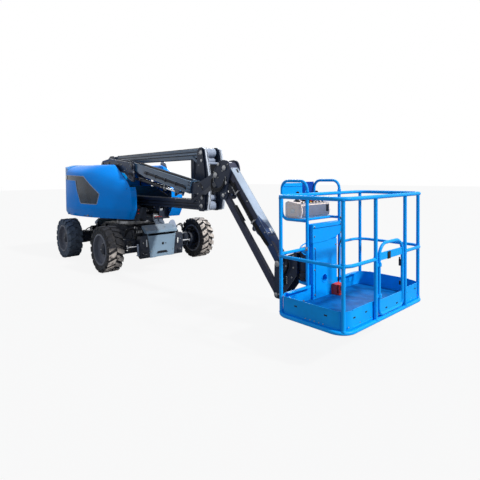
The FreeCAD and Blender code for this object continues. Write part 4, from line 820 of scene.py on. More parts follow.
TAIL_X = -1300.0
TAIL_SIDE = ((-962.0, 1011.0), (-1188.0, 981.5), (-1240.0, 962.0), (-1278.0, 922.0), (-1301.5, 860.0))
bm = piece("tail_band", "turntable", "window")
band = [[Vector((x, sign * y, z)) for z in (1683, 1767)] for sign in (1, -1)
        for x, y in (TAIL_SIDE if sign > 0 else reversed(TAIL_SIDE))]
skin(bm, band, -5, 1)
bm = piece("tail_band_trim", "turntable", "pale")
for z in (1680, 1770):
    bar(bm, [(q[0][0] - 1, q[0][1], z) for q in band], 4, 8)
bm = piece("tail_louvres", "turntable", "plastic")
for y in (-420, 0, 420):
    block(bm, (TAIL_X - 4, TAIL_X + 6), (y - 165, y + 165), (1216, 1584), 3)
    for k in range(9):
        z = 1240 + k * 40
        low, high = (TAIL_X - 6, z), (TAIL_X - 16, z + 24)
        plate(bm, [(low[0], y - 150, low[1]), (low[0], y + 150, low[1]), (high[0], y + 150, high[1]),
                   (high[0], y - 150, high[1])], 4, 1)
bm = piece("tail_tie_points", "turntable", "steel")
for sign in BOTH:
    bolt_ring(bm, (TAIL_X + 1, sign * 700, 1300), (-1, 0, 0), 46, 4, 13, 0.78)
    lathe(bm, (TAIL_X + 2, sign * 700, 1300), (-1, 0, 0), [(0, 26), (8, 30), (14, 26), (14, 18), (0, 16)], 28)
bm = piece("tail_lamps", "turntable", "amber")
for sign in BOTH:
    block(bm, (TAIL_X - 8, TAIL_X + 8), sorted((sign * 640, sign * 780)), (1838, 1858), 4)

# Turntable front: shelf, valve block, boxes, hoses and gas struts

bm = piece("front_shelf", "turntable", "chassis_dark")
block(bm, (820, 862), (-372, 372), (882, 906), 4)
for y in (-350, -170, 30, 210, 350):
    bolt(bm, (862, y, 894), (1, 0, 0), 10)
bolts_on_sides(bm, ((700, 1180), (400, 1400), (-300, 1400), (760, 950), (120, 950), (-500, 950)), 375, 12)
VALVE_ROW = [52 + k * 34 for k in range(5)]
bm = piece("valve_block", "turntable", "steel")
block(bm, (742, 818), (30, 210), (882, 952), 5)
for y in VALVE_ROW:
    knob(bm, (818, y, 918), (1, 0, 0), 11, 34, 4, 16)
    knob(bm, (780, y, 950), (0, 0, 1), 9, 26, 3, 16)
bm = piece("valve_caps", "turntable", "red")
for y in VALVE_ROW:
    knob(bm, (852, y, 918), (1, 0, 0), 8, 10, 3, 14)
knob(bm, (846, -312, 1080), (1, 0, 0), 14, 16, 4, 18)
knob(bm, (846, -318, 1010), (1, 0, 0), 14, 16, 4, 18)
bm = piece("front_box", "turntable", "plastic", "boom_dark")
block(bm, (700, 846), (-366, -258), (882, 1150), 8)
block(bm, (600, 700), (-366, -300), (900, 1240), 8)
block(bm, (740, 836), (230, 368), (882, 1010), 8)
bm = piece("front_hoses", "turntable", "hose")
for k, y in enumerate(VALVE_ROW):
    hose(bm, [(780, y, 974), (780, y, 1020), (770, y - 30, 1060 + k * 9), (700, -k * 18, 1085 + k * 12),
             (560, -30 - k * 18, 1110 + k * 12)])
for k in range(3):
    hose(bm, [(846, -300 + k * 22, 900), (878, -296 + k * 22, 900), (888, -290 + k * 26, 870),
            (870, -240 + k * 40, 858)])
bm = piece("front_strut", "turntable", "zinc")
bar(bm, [(-338, 388, 1320), (133, 388, 1470)], 9, 12)
bar(bm, [(560, -388, 1140), (840, -388, 1240)], 7, 10)
for x, sign, z in ((-338, 1, 1320), (133, 1, 1470), (560, -1, 1140), (840, -1, 1240)):
    knob(bm, (x, sign * 374, z), (0, sign, 0), 15, 16, 3, 18)

# Chassis ends: the covers' feet, recesses drawn as dark plates for their painted shade, screws and blank plates,
# brackets, boxes and hoses

COVER_X = 1195.0
for end, tag in ((1, "front"), (-1, "rear")):
    face = COVER_X * end
    out = (end, 0, 0)

    def x_pair(low, high, end=end):
        return sorted((end * low, end * high))

    bm = piece("cover_foot_" + tag, "chassis", "cover_grey")
    block(bm, x_pair(1170, 1190), (-152, 152), (184, 300), 3)
    for sign in BOTH:
        plate(bm, [(end * 1197, sign * 292, 600), (end * 1197, sign * 300, 632),
                (end * 1197, sign * -300, 632),
                   (end * 1197, sign * -292, 600)], 3 * end * -sign, 0.6)
    # Dark plate under the handle: painted shade of the handle's recess; the round knobs are a blank plug
    bm = piece("cover_recess_shade_and_plug_" + tag, "chassis", "plastic")
    plate(bm, [(end * 1198, -128, 250), (end * 1198, 128, 250), (end * 1198, 92, 292),
            (end * 1198, -92, 292)], 3 * end, 0.8)
    knob(bm, (end * (COVER_X - 2), 18, 430), out, 26, 8, 3, 24)
    knob(bm, (end * (COVER_X + 5), 18, 430), out, 12, 8, 3, 18)
    block(bm, x_pair(COVER_X - 2, COVER_X + 4), (62, 96), (422, 434), 2)
    bm = piece("cover_screws_" + tag, "chassis", "zinc")
    for y, z in ((-268, 560), (268, 560), (-238, 300), (238, 300), (-222, 214), (222, 214)):
        bolt(bm, (end * (COVER_X + 1), y, z), out, 9)
    for y in (-290, -100, 100, 290):
        bolt(bm, (end * 1130, y, 738), (end * 0.43, 0, 0.9), 9)
    bm = piece("column_plates_" + tag, "chassis", "plate", "cover_grey")
    for sign, low, high in ((-1, 404, 540), (1, 404, 510)):
        plate(bm, [(end * 1216.5, sign * 330, low), (end * 1216.5, sign * 352, low),
                (end * 1215, sign * 358, high),
                   (end * 1215, sign * 336, high)], 3 * end * sign, 0.8)
    bm = piece("column_bolts_" + tag, "chassis", "steel")
    for sign in BOTH:
        for z in (280, 480):
            bolt(bm, (end * 1208, sign * 410, z), out, 12)
        lathe(bm, (end * 1232, sign * 380, 274), (0, 0, 1), [(0, 19), (0, 30), (5, 30), (7, 27), (7, 19)], 28)
    bm = piece("tow_bracket_" + tag, "chassis", "pale", "cover_grey")
    plate(bm, [(end * 1150, -end * 420, 250), (end * 1150, -end * 500, 250), (end * 1150, -end * 508, 455),
               (end * 1150, -end * 484, 468), (end * 1150, -end * 420, 330)], 10, 2)
    block(bm, x_pair(1110, 1164), sorted((-end * 420, -end * 508)), (240, 252), 3)

bm = piece("cable_guard", "chassis", "pale", "cover_grey")
plate(bm, [(1030, 232, 742), (1030, 300, 838), (1030, 352, 852), (1030, 392, 836), (1030, 436, 730),
        (1030, 440, 694),
           (1030, 250, 694)], 12, 3)
block(bm, (1030, 1100), (250, 438), (690, 700), 3)
bm = piece("axle_box", "chassis", "plastic", "boom_dark")
block(bm, (960, 1046), (-476, -300), (500, 574), 8)
block(bm, (985, 1046), (-470, -330), (574, 650), 8)
block(bm, (985, 1046), (330, 470), (500, 640), 8)
bm = piece("front_fittings", "chassis", "zinc")
for k in range(4):
    y = -440 + k * 36
    knob(bm, (1010, y, 648), (0, 0, 1), 11, 34, 4, 14)
    knob(bm, (1010, y, 682), (0, 0, 1), 8, 22, 3, 12)
for y, z in ((-474, 760), (-430, 742), (380, 655), (420, 655), (452, 655)):
    knob(bm, (1000, y, z - 20), (0, 0, 1), 10, 40, 4, 14)
for sign in BOTH:
    bolt_ring(bm, (AXLE_X, sign * 690, 548), (0, 0, 1), 40, 4, 12)
    lathe(bm, (AXLE_X, sign * 690, 546), (0, 0, 1), [(0, 0), (0, 24), (14, 24), (18, 20), (18, 0)], 24)
bm = piece("front_chassis_hoses", "chassis", "hose")
for k in range(4):
    y = -440 + k * 36
    hose(bm, [(1010, y, 700), (1006, y - 4, 742), (960, y - 10, 770 - k * 4), (860, y + 40, 742),
            (700, -250 + k * 10, 726)], 9)
for sign in BOTH:
    for k in range(3):
        hose(bm, [(1000, sign * (400 + k * 22), 640), (1004, sign * (430 + k * 24), 700 + k * 10),
                 (990, sign * (520 + k * 22), 730 + k * 14), (968, sign * (600 + k * 14), 690 + k * 12),
                 (940, sign * (636 + k * 10), 600)], 9)
    hose(bm, [(-1000, sign * 380, 560), (-1000, sign * 470, 610), (-975, sign * 570, 590),
            (-958, sign * 640, 560)], 9)
    hose(bm, [(-930, sign * 380, 560), (-930, sign * 470, 620), (-945, sign * 580, 600),
            (-958, sign * 650, 560)], 9)
bm = piece("frame_bolts", "chassis", "steel")
bolt_ring(bm, (0, 0, 740), (0, 0, 1), 352, 24, 13)
bolts_on_sides(bm, [(x, 640) for x in (-600, -300, 300, 600)], 290, 13)
bm = piece("frame_side_plates", "chassis", "chassis_dark")
for sign in BOTH:
    block(bm, (-560, 560), sorted((sign * 288, sign * 300)), (470, 600), 4)
    for x in ((-700, -640), (640, 700)):
        block(bm, x, sorted((sign * 288, sign * 330)), (330, 690), 6)

# Drive motors and brake drums inboard of the wheels, which turn with the knuckles or stay on the rear axle

for corner, end, sign, body in (("front_left", 1, 1, "steer_left"), ("front_right", 1, -1, "steer_right"),
                                ("rear_left", -1, 1, "chassis"), ("rear_right", -1, -1, "chassis")):
    x = end * AXLE_X
    bm = piece("drive_" + corner, body, "barrel", "chassis_dark")
    lathe(bm, (x, sign * 800, AXLE_Z), (0, sign, 0), [
        (0, 0), (0, 118), (20, 132), (60, 132), (70, 124), (150, 124), (160, 116), (160, 0)], 40)
    bolt_ring(bm, (x, sign * 802, AXLE_Z), (0, -sign, 0), 126, 12, 8)
    bm = piece("drive_lines_" + corner, body, "hose")
    for k in range(2):
        hose(bm, [(x + end * (20 + k * 30), sign * 826, 546), (x + end * (24 + k * 34), sign * 800, 610),
                 (x + end * (20 + k * 30), sign * 770, 620), (x + end * (10 + k * 24), sign * 752, 560)])

# Riser arms: grooves drawn as dark strips for their painted shade, edge bars that are pale painted highlight on
# the upper arm, sleeves, hoses, pin heads, and the knuckle's flanges, ties and hoses

RISER = (-650.0, 2700.0)
LOWER_Z = 1235.0
UPPER_Z = 2105.0
LINK_DZ = 130.0          # a link's height over or under its arm
RISER_CYLINDER_PIN = (-300, 1010)
BOOM_Y = -390.0
for body, z, tag in (("lower_arm", LOWER_Z, "lower"), ("upper_arm", UPPER_Z, "upper")):
    # Dark strips along the arms' sides: painted shade in the grooves
    bm = piece("arm_groove_shade_" + tag, body, "rubber", "boom_dark")
    for sign in BOTH:
        for low in (z - 37, z + 17):
            plate(bm, [(-560, sign * 99, low), (2610, sign * 99, low), (2610, sign * 99, low + 12),
                    (-560, sign * 99, low + 12)],
                  2.2 * -sign, 0.5)
    # On the upper arm these bars are in the pale painted-highlight grey; on the lower arm they are plain dark
    # paint
    bm = piece("arm_edges_" + tag, body, "arm_highlight" if tag == "upper" else "boom_dark", "boom_dark")
    for sign in BOTH:
        for up in (-70, -12, 62):
            bar(bm, [(-560, sign * 97, z + up), (2610, sign * 97, z + up)], 7, 8)
    bm = piece("arm_sleeves_" + tag, body, "pale", "boom_dark")
    for sign in BOTH:
        lathe(bm, (RISER[1], sign * 4, z), (0, sign, 0), [(0, 60), (0, 76), (88, 76), (92, 72), (92, 60)], 40)
    lathe(bm, (RISER[1], -8, z), (0, 1, 0), [(0, 70), (0, 78), (16, 78), (16, 70)], 40)
    bm = piece("arm_hoses_" + tag, body, "hose")
    for k in range(4):
        y = -48 + k * 32
        top = z + 75 + 9
        end = 2150 if tag == "lower" else 2560
        hose(bm, [(-520, y, top - 4), (-440, y, top), (600, y, top + 1), (1500, y, top), (end - 100, y, top),
                (end, y * 1.1, top - 4)], 8.5)
    bm = piece("arm_clamps_" + tag, body, "zinc")
    for x in (-300, 350, 1000, 1650, 2020 if tag == "lower" else 2300):
        block(bm, (x - 14, x + 14), (-66, 66), (z + 74, z + 79), 1.5)
        for y in (-62, 62):
            bolt(bm, (x, y, z + 79), (0, 0, 1), 8)

bm = piece("riser_pin_heads", "knuckle", "steel")
pins_on_sides(bm, [(RISER[1], z, 160, 36) for z in (LOWER_Z, UPPER_Z)], 8, 3)
pins_on_sides(bm, [(RISER[1], z, 150, 27) for z in (LOWER_Z + LINK_DZ, UPPER_Z - LINK_DZ)], 10, 3)
bolts_on_sides(bm, [(RISER[1] - 50, z) for z in (LOWER_Z, UPPER_Z)], 160, 9)
for sign in BOTH:
    for z in (LOWER_Z, UPPER_Z):
        block(bm, (RISER[1] - 62, RISER[1] - 22), sorted((sign * 150, sign * 160)), (z - 14, z + 14), 3)
bm = piece("rear_pin_heads", "upright", "steel")
pins_on_sides(bm, [(RISER[0], UPPER_Z, 160, 36)], 8, 3)
pins_on_sides(bm, [(RISER[0], UPPER_Z - LINK_DZ, 150, 27)], 9, 3)
bm = piece("stand_pin_heads", "turntable", "steel")
pins_on_sides(bm, [(RISER[0], LOWER_Z, 162, 36)], 8, 3)
pins_on_sides(bm, [(RISER[0], LOWER_Z + LINK_DZ, 150, 27)], 9, 3)
pins_on_sides(bm, [(*RISER_CYLINDER_PIN, 150, 30)], 10, 3)

FLANGE = ((2750, 2192), (2826, 2150), (2919, 1717), (2908, 1333), (2872, 1180), (2790, 1160))
bm = piece("knuckle_cheeks", "knuckle", "boom_dark")
for sign in BOTH:
    y = 150 * sign if sign < 0 else 130
    outline = [(2740, 2188), *FLANGE, (2776, 1168), (2800, 1450), (2800, 1720)]
    plate(bm, [(x, y, z) for x, z in outline], 20, 2)
bm = piece("knuckle_flanges", "knuckle", "flange")
for sign in BOTH:
    for (x0, z0), (x1, z1) in zip(FLANGE, FLANGE[1:]):
        along = Vector((x1 - x0, 0, z1 - z0)).normalized()
        y = sorted((sign * 126, sign * 176))
        a, b = Vector((x0, 0, z0)) - along * 4, Vector((x1, 0, z1)) + along * 4
        plate(bm, [(a[0], y[0], a[2]), (b[0], y[0], b[2]), (b[0], y[1], b[2]), (a[0], y[1], a[2])], -9, 1.5)
bm = piece("knuckle_ties", "knuckle", "pale", "boom_dark")
for x, z, radius in ((2700, UPPER_Z - LINK_DZ, 47), (2700, LOWER_Z + LINK_DZ, 47), (2720, 1640, 43)):
    lathe(bm, (x, -106, z), (0, 1, 0), [(0, radius - 6), (0, radius), (212, radius), (212, radius - 6)], 32)
bar(bm, [(2790, -128, 1930), (2790, 128, 1930)], 20, 20)
bm = piece("knuckle_bolts", "knuckle", "zinc")
bolts_on_sides(bm, ((2640, 2080), (2620, 1900), (2840, 1990), (2866, 1620), (2640, 1600), (2640, 1300),
                    (2850, 1290)), 150, 12)
bm = piece("knuckle_hoses", "knuckle", "hose")
for k in range(4):
    y = -48 + k * 32
    hose(bm, [(2590, y, 1360), (2640, y, 1480), (2610, y, 1620), (2600, y + 10, 1800), (2650, y, 1930)], 9)
for k in range(3):
    hose(bm, [(2850, -176, 1640 - k * 26), (2862, -196, 1600 - k * 26), (2840, -214 - k * 5, 1500 - k * 24),
             (2790, -200, 1440 - k * 20), (2720, -160, 1430 - k * 20)], 9)

# Upright: boss over the boom's pivot, pin heads, bolts, stiffener bars in the pale grey of painted highlight,
# hoses and fittings

OUT_Y = BOOM_Y - 120.0
bm = piece("boom_pivot_boss", "upright", "barrel", "boom_dark")
lathe(bm, (1000, OUT_Y - 2, 1925), (0, -1, 0), [(0, 0), (0, 66), (10, 66), (16, 60), (22, 46), (24, 0)], 40)
lathe(bm, (1050, OUT_Y + 2, 1680), (0, -1, 0), [(0, 0), (0, 42), (12, 42), (18, 34), (18, 0)], 32)
lathe(bm, (-20, OUT_Y + 2, 1985), (0, -1, 0), [(0, 0), (0, 50), (8, 50), (12, 44), (12, 0)], 32)
lathe(bm, (-300, OUT_Y + 2, 1995), (0, -1, 0), [(0, 0), (0, 42), (8, 42), (12, 36), (12, 0)], 32)
bm = piece("upright_bolts", "upright", "zinc")
bolt_ring(bm, (1000, OUT_Y - 20, 1925), (0, -1, 0), 40, 6, 8)
for x, z in ((795, 1873), (700, 1846), (430, 1990), (560, 1960), (880, 1740), (1060, 1800), (200, 1950),
        (1040, 1730)):
    bolt(bm, (x, OUT_Y, z), (0, -1, 0), 13)
block(bm, (1052, 1098), (OUT_Y - 12, OUT_Y + 2), (1796, 1824), 4)
bolts_on_sides(bm, ((-470, 2110), (-720, 2110), (-600, 1985), (-800, 2010)), 150, 12)
# Pale grey of these bars: painted highlight
bm = piece("upright_stiffener", "upright", "arm_highlight")
bar(bm, [(-300, OUT_Y - 4, 2052), (60, OUT_Y - 4, 2084), (500, OUT_Y - 4, 2036), (960, OUT_Y - 4, 1980),
        (1050, OUT_Y - 4, 1955)], 8, 8)
bar(bm, [(60, OUT_Y - 3, 1905), (700, OUT_Y - 3, 1800), (900, OUT_Y - 3, 1680), (1070, OUT_Y - 3, 1640)], 6,
        8)
bm = piece("upright_hoses", "upright", "hose")
for k in range(3):
    hose(bm, [(-500, -160, 2060 - k * 22), (-380, -230, 2050 - k * 22), (-200, -280, 2040 - k * 22),
            (100, -300, 1990 - k * 20),
             (500, -300, 1930 - k * 20), (800, -310, 1880 - k * 18)], 9)
for k in range(2):
    hose(bm, [(860, OUT_Y - 12, 1790 - k * 24), (940, OUT_Y - 18, 1800 - k * 24),
            (1010, OUT_Y - 14, 1770 - k * 24),
             (1050, OUT_Y - 8, 1720 - k * 14)], 7)

# Fitting on the left hood's roof

bm = piece("roof_fitting", "hood_left", "flange", "steel")
plate(bm, [(345, 486, 1990), (600, 486, 1908), (634, 486, 1902), (560, 486, 2010), (470, 486, 2046),
        (390, 486, 2040)], -12, 3)

# Boom: pale bars along its edges as painted highlight, collar bolts at its mouth, tubes and clips along its
# side, hoses

BOOM_DOWN = 10.7


def on_boom(along, up, y=0.0):
    x, z = turned(along, up, BOOM_DOWN, 1000.0, 1925.0)
    return (x, BOOM_Y + y, z)


# Pale bars along the boom's edges: painted highlight
bm = piece("boom_edges", "boom", "arm_highlight")
for side in (-1, 1):
    for up in (62, -123):
        bar(bm, [on_boom(420, up, side * 84), on_boom(1880, up, side * 84)], 7, 8)
    bar(bm, [on_boom(420, -16, side * 85), on_boom(1810, -16, side * 85)], 5, 8)
bm = piece("boom_tubes", "boom", "barrel")
for up in (-38, -60):
    bar(bm, [on_boom(430, up, -96), on_boom(1700, up, -96), on_boom(1760, up - 20, -90)], 9, 10)
bm = piece("boom_clips", "boom", "barrel", "steel")
for along in (520, 840, 1160, 1480):
    x, y, z = on_boom(along, -50, -98)
    block(bm, (x - 12, x + 12), (y - 10, y + 12), (z - 30, z + 30), 2)
    bolt(bm, (x, y - 10, z), (0, -1, 0), 8)
for along in (1830, 1868):
    for up in (-100, -60, 0, 40):
        for sign in BOTH:
            bolt(bm, on_boom(along, up, sign * 93), (0, sign, 0), 9)
for along in (1835, 1868):
    for y in (-50, 0, 50):
        bolt(bm, on_boom(along, 73, y), (0.18, 0, 0.98), 9)
for sign in BOTH:
    knob(bm, on_boom(1472, -227, sign * 66), (0, sign, 0), 30, 10, 3)
bm = piece("boom_hoses", "boom", "hose")
for k in range(3):
    hose(bm, [on_boom(60, 40 + k * 4, -60 + k * 30), on_boom(180, 84, -58 + k * 28),
            on_boom(420, 74, -50 + k * 26),
             on_boom(1100, 74, -50 + k * 26), on_boom(1790, 76, -50 + k * 26)], 9)
bm = piece("boom_extension_bolts", "boom_extension", "zinc")
for along, up in ((2060, 30), (2060, -90), (2160, 30), (2160, -110)):
    for sign in BOTH:
        bolt(bm, on_boom(along, up, sign * 66), (0, sign, 0), 11)
bm = piece("extension_hoses", "boom_extension", "hose")
for k in range(3):
    hose(bm, [on_boom(1930, 58, -44 + k * 22), on_boom(2010, 84, -44 + k * 22),
            on_boom(2100, 70 - k * 8, -62),
             on_boom(2170, 10 - k * 12, -60)], 9)
bm = piece("extension_fittings", "boom_extension", "zinc")
for k in range(3):
    x, y, z = on_boom(1925, 56, -44 + k * 22)
    block(bm, (x - 12, x + 14), (y - 9, y + 9), (z - 10, z + 10), 2)

# Cylinders: glands, ports and pipes

JIB_DOWN = 50.3          # the jib's slope, in degrees
JIB_FOOT = (3672.0, 1832.0)
JIB_LINK_FOOT = (3650.0, 1450.0)
JIB_CYLINDER_PIN = (3705, 1625)

for name, pin, eye, y, radius, length in (
        ("riser_cylinder", RISER_CYLINDER_PIN, (1150, 1095), 0.0, 44.0, 940.0),
        ("boom_cylinder", (1050, 1680), (2417, 1454), BOOM_Y, 36.0, 960.0),
        ("jib_cylinder", JIB_CYLINDER_PIN, turned(950, -115, JIB_DOWN, *JIB_FOOT), BOOM_Y + 22.0, 33.0,
        610.0)):
    way = Vector((eye[0] - pin[0], 0, eye[1] - pin[1])).normalized()
    start = Vector((pin[0], y, pin[1]))
    lift = Vector((-way[2], 0, way[0])) if y == 0 else Vector((0, -1, 0))
    end = start + way * (length - 20)
    bm = piece(name + "_gland", name + "_barrel", "steel")
    lip = radius + (1 if radius < 35 else 7)
    lathe(bm, end, way, [(0, radius * 0.8), (0, lip), (20, lip), (26, radius), (26, radius * 0.8)], 28)
    for along in (0.08, 0.9):
        spot = start + way * (length * along) + lift * (radius - 2)
        knob(bm, spot, lift, 13, 16, 3, 16)
    bm = piece(name + "_pipe", name + "_barrel", "barrel")
    bar(bm, [start + way * (length * along) + lift * (radius + off)
             for along, off in ((0.1, 4), (0.16, 9), (0.5, 9), (0.84, 9), (0.9, 4))], 7, 8)

# Jib: top face in a pale grey that is painted highlight, navy lower part, slots drawn as dark plates for their
# painted shade, pale bars along its edges as painted highlight, ribs, hoses, and the bracket at its foot

JIB_LENGTH = 1540.0
JIB_SIDE = 70.0
HEAD_FACE = 100.0


def on_jib(along, up, y=0.0):
    x, z = turned(along, up, JIB_DOWN, *JIB_FOOT)
    return (x, BOOM_Y + y, z)


# Top face in the pale painted-highlight grey
bm = piece("jib_top_face", "jib", "jib_lit_top")
plate(bm, [on_jib(62, 74, -66), on_jib(850, 74, -66), on_jib(1176, 74, 62), on_jib(1176, 74, 66),
        on_jib(62, 74, 66)], 3, 1)
bm = piece("jib_navy_skin", "jib", "jib_navy")
plate(bm, [on_jib(858, 75, -69), on_jib(1180, 75, -69), on_jib(1180, 75, 58)], 3, 1)
side = [(900, 74), (1176, 74), (1268, 68), (1500, 45), (1500, -40), (1176, -24), (1060, -68), (900, -20)]
for sign in BOTH:
    plate(bm, [on_jib(a, u, sign * JIB_SIDE) for a, u in side], 2.5 * sign, 1)
plate(bm, [on_jib(1190, 74, -66), on_jib(1272, 68, -66), on_jib(1500, 45, -66), on_jib(1500, 45, 66),
        on_jib(1272, 68, 66),
           on_jib(1190, 74, 66)], 3, 1)
# Dark plates on the jib's top and side: painted shade of a slot and a pocket
bm = piece("jib_slot_shade", "jib", "rubber")
plate(bm, [on_jib(90, 77, 10), on_jib(150, 77, 10), on_jib(150, 77, 44), on_jib(90, 77, 44)], 1.5, 0.5)
plate(bm, [on_jib(along, up, -JIB_SIDE - 1) for along, up in ((190, -24), (310, -8), (386, -66),
        (250, -73))], -1.5, 0.5)
# Pale bars along the jib's edges: painted highlight
bm = piece("jib_edges", "jib", "arm_highlight")
for sign in BOTH:
    bar(bm, [on_jib(60, 74, sign * 68), on_jib(1176, 74, sign * 68)], 4, 8)
    bar(bm, [on_jib(260, -74, sign * 68), on_jib(1050, -74, sign * 68), on_jib(1172, -30, sign * 68),
            on_jib(1490, -42, sign * 66)],
        4, 8)
bm = piece("jib_side_rib", "jib", "jib_dark")
for sign in BOTH:
    plate(bm, [on_jib(330, 6, sign * 70), on_jib(880, 6, sign * 70), on_jib(880, -58, sign * 70),
            on_jib(400, -58, sign * 70)],
          2.5 * sign, 1)
bm = piece("jib_pale_plate", "jib", "plate")
plate(bm, [on_jib(1080, 79, 0), on_jib(1160, 79, 0), on_jib(1160, 79, 26), on_jib(1080, 79, 26)], 1.5, 0.5)
bm = piece("jib_fittings", "jib", "zinc")
for along, up in ((300, -30), (360, -56), (620, 44), (1010, 30), (1120, 50), (1300, 44)):
    for sign in BOTH:
        bolt(bm, on_jib(along, up, sign * (JIB_SIDE + 1)), (0, sign, 0), 10)
for along in (80, 1150):
    for y in (-48, 48):
        bolt(bm, on_jib(along, 77, y), (0.77, 0, 0.64), 9)
for k in range(3):
    x, y, z = on_jib(310 + k * 40, -60, -JIB_SIDE - 6)
    block(bm, (x - 12, x + 12), (y - 8, y + 8), (z - 12, z + 12), 3)
bm = piece("jib_hoses", "jib", "hose")
for k in range(3):
    hose(bm, [on_jib(262, 10 - k * 20, -66), on_jib(310, 4 - k * 20, -80), on_jib(420, -8 - k * 18, -82),
             on_jib(900, -10 - k * 18, -80), on_jib(1200, 8 - k * 18, -82), on_jib(1290, 6 - k * 16, -64)],
             7.5)
bm = piece("jib_clamps", "jib", "steel")
for along in (420, 900):
    for end in (14, -68):
        bolt(bm, on_jib(along, end, -JIB_SIDE - 1), (0, -1, 0), 7)
    plate(bm, [on_jib(along - 10, 16, -91), on_jib(along + 10, 16, -91), on_jib(along + 10, -70, -91),
               on_jib(along - 10, -70, -91)], -3, 1)
bm = piece("jib_bracket_pins", "jib_bracket", "steel")
BRACKET_PINS = ((3480, 1735, 40), (*JIB_FOOT, 38), (*JIB_LINK_FOOT, 28), (*JIB_CYLINDER_PIN, 24),
        (3545, 1885, 24))
pins_on_sides(bm, [(x, z, HEAD_FACE - 8, radius) for x, z, radius in BRACKET_PINS], 16, 4, BOOM_Y)
bm = piece("jib_bracket_keepers", "jib_bracket", "zinc")
bolts_on_sides(bm, ((3530, 1700), (3625, 1790), (3690, 1480), (3665, 1660), (3440, 1780), (3740, 1880),
                    (3600, 1560)), HEAD_FACE - 8, 11, BOOM_Y)
bm = piece("jib_bracket_edges", "jib_bracket", "jib_dark")
for sign in BOTH:
    y = BOOM_Y + sign * (HEAD_FACE - 9)
    hose(bm, [(3452, y, 1800), (3500, y, 1868), (3570, y, 1918), (3660, y, 1938), (3740, y, 1916),
            (3775, y, 1860), (3780, y, 1790),
             (3728, y, 1600), (3702, y, 1420)], 6)
bm = piece("jib_bracket_hoses", "jib_bracket", "hose")
for k in range(3):
    y = BOOM_Y - HEAD_FACE - 16 - k * 5
    hose(bm, [(3430, BOOM_Y - 100, 1700 - k * 26), (3400 + k * 6, y, 1650 - k * 26),
            (3440, y, 1560 - k * 22), (3540, y, 1540 - k * 20),
             (3640, y, 1580 - k * 22), (3700, BOOM_Y - 100, 1700 - k * 24)])
bm = piece("jib_bracket_fittings", "jib_bracket", "zinc")
for k in range(3):
    knob(bm, (3700, BOOM_Y - 92, 1700 - k * 24), (0, -1, 0), 11, 14, 2, 12)
    knob(bm, (3430, BOOM_Y - 92, 1700 - k * 26), (0, -1, 0), 11, 14, 2, 12)


def on_link(along, up, y=0.0):
    x, z = turned(along, up, JIB_DOWN, *JIB_LINK_FOOT)
    return (x, BOOM_Y + y, z)


bm = piece("jib_link_tray", "jib_link", "barrel", "boom_dark")
plate(bm, [on_link(218, 42, -66), on_link(540, 42, -66), on_link(500, 86, -66), on_link(236, 86, -66)], -4, 1)
plate(bm, [on_link(236, 82, -66), on_link(500, 82, -66), on_link(500, 82, -34), on_link(236, 82, -34)], 4, 1)
bm = piece("jib_link_edges", "jib_link", "jib_dark")
for up in (42, -42):
    bar(bm, [on_link(30, up, -68), on_link(JIB_LENGTH - 30, up, -68)], 4, 8)
for along in (0, JIB_LENGTH):
    lathe(bm, on_link(along, 0, -70), (0, -1, 0), [(0, 26), (0, 44), (2, 44), (2.5, 42), (2.5, 26)], 32)

# Bracket and turning mount behind the platform

JIB_END = turned(JIB_LENGTH, 0, JIB_DOWN, *JIB_FOOT)
JIB_LINK_END = turned(JIB_LENGTH, 0, JIB_DOWN, *JIB_LINK_FOOT)
TURN_X = 5010.0
bm = piece("bracket_pins", "platform_bracket", "steel")
for (x, z), radius in ((JIB_END, 38), (JIB_LINK_END, 28)):
    pins_on_sides(bm, [(x, z, HEAD_FACE - 8, radius)], 16, 4, BOOM_Y)
    bolts_on_sides(bm, [(x + radius + 12, z + 14)], HEAD_FACE - 8, 10, BOOM_Y)
bm = piece("turning_drum", "platform_bracket", "barrel")
for z in (524, 600, 740, 800):
    lathe(bm, (TURN_X, BOOM_Y, z), (0, 0, 1), [(0, 66), (0, 78), (14, 78), (14, 66)], 36)
bm = piece("bracket_bolts", "platform_bracket", "zinc")
bolts_on_sides(bm, ((4790, 640), (4840, 760), (4880, 520), (4905, 640), (4905, 780), (4760, 480)),
               HEAD_FACE - 8, 11, BOOM_Y)
bm = piece("bracket_hoses", "platform_bracket", "hose")
for k in range(4):
    y = BOOM_Y - HEAD_FACE - 14 - k * 6
    hose(bm, [(4700 + k * 16, BOOM_Y - 100, 640 + k * 12), (4740 + k * 10, y, 690 + k * 16),
            (4815, y, 720 + k * 14),
             (4848, y, 650 + k * 12), (4800 + k * 8, y, 560 + k * 14), (4742, y, 480 + k * 16),
             (4760, y, 420 + k * 18),
             (4805, BOOM_Y - 100, 440 + k * 24)])
bm = piece("bracket_fittings", "platform_bracket", "zinc")
for k in range(4):
    knob(bm, (4700 + k * 16, BOOM_Y - 92, 640 + k * 12), (0, -1, 0), 12, 12, 2, 12)
    knob(bm, (4805, BOOM_Y - 92, 440 + k * 24), (0, -1, 0), 12, 12, 2, 12)
bm = piece("yoke_bolts", "platform", "zinc")
bolt_ring(bm, (TURN_X, BOOM_Y, 870), (0, 0, 1), 46, 6, 10)
knob(bm, (TURN_X, BOOM_Y, 870), (0, 0, 1), 30, 8, 3)
bolts_on_sides(bm, [(5196, z) for z in (520, 670, 820)], 130, 11, BOOM_Y)

# Platform: slots drawn as dark blocks for their painted shade, rivets, flanges, floor tread, tube collars,
# loops, panel with fold lines in painted shade, and guard sheet whose dark part is painted shadow

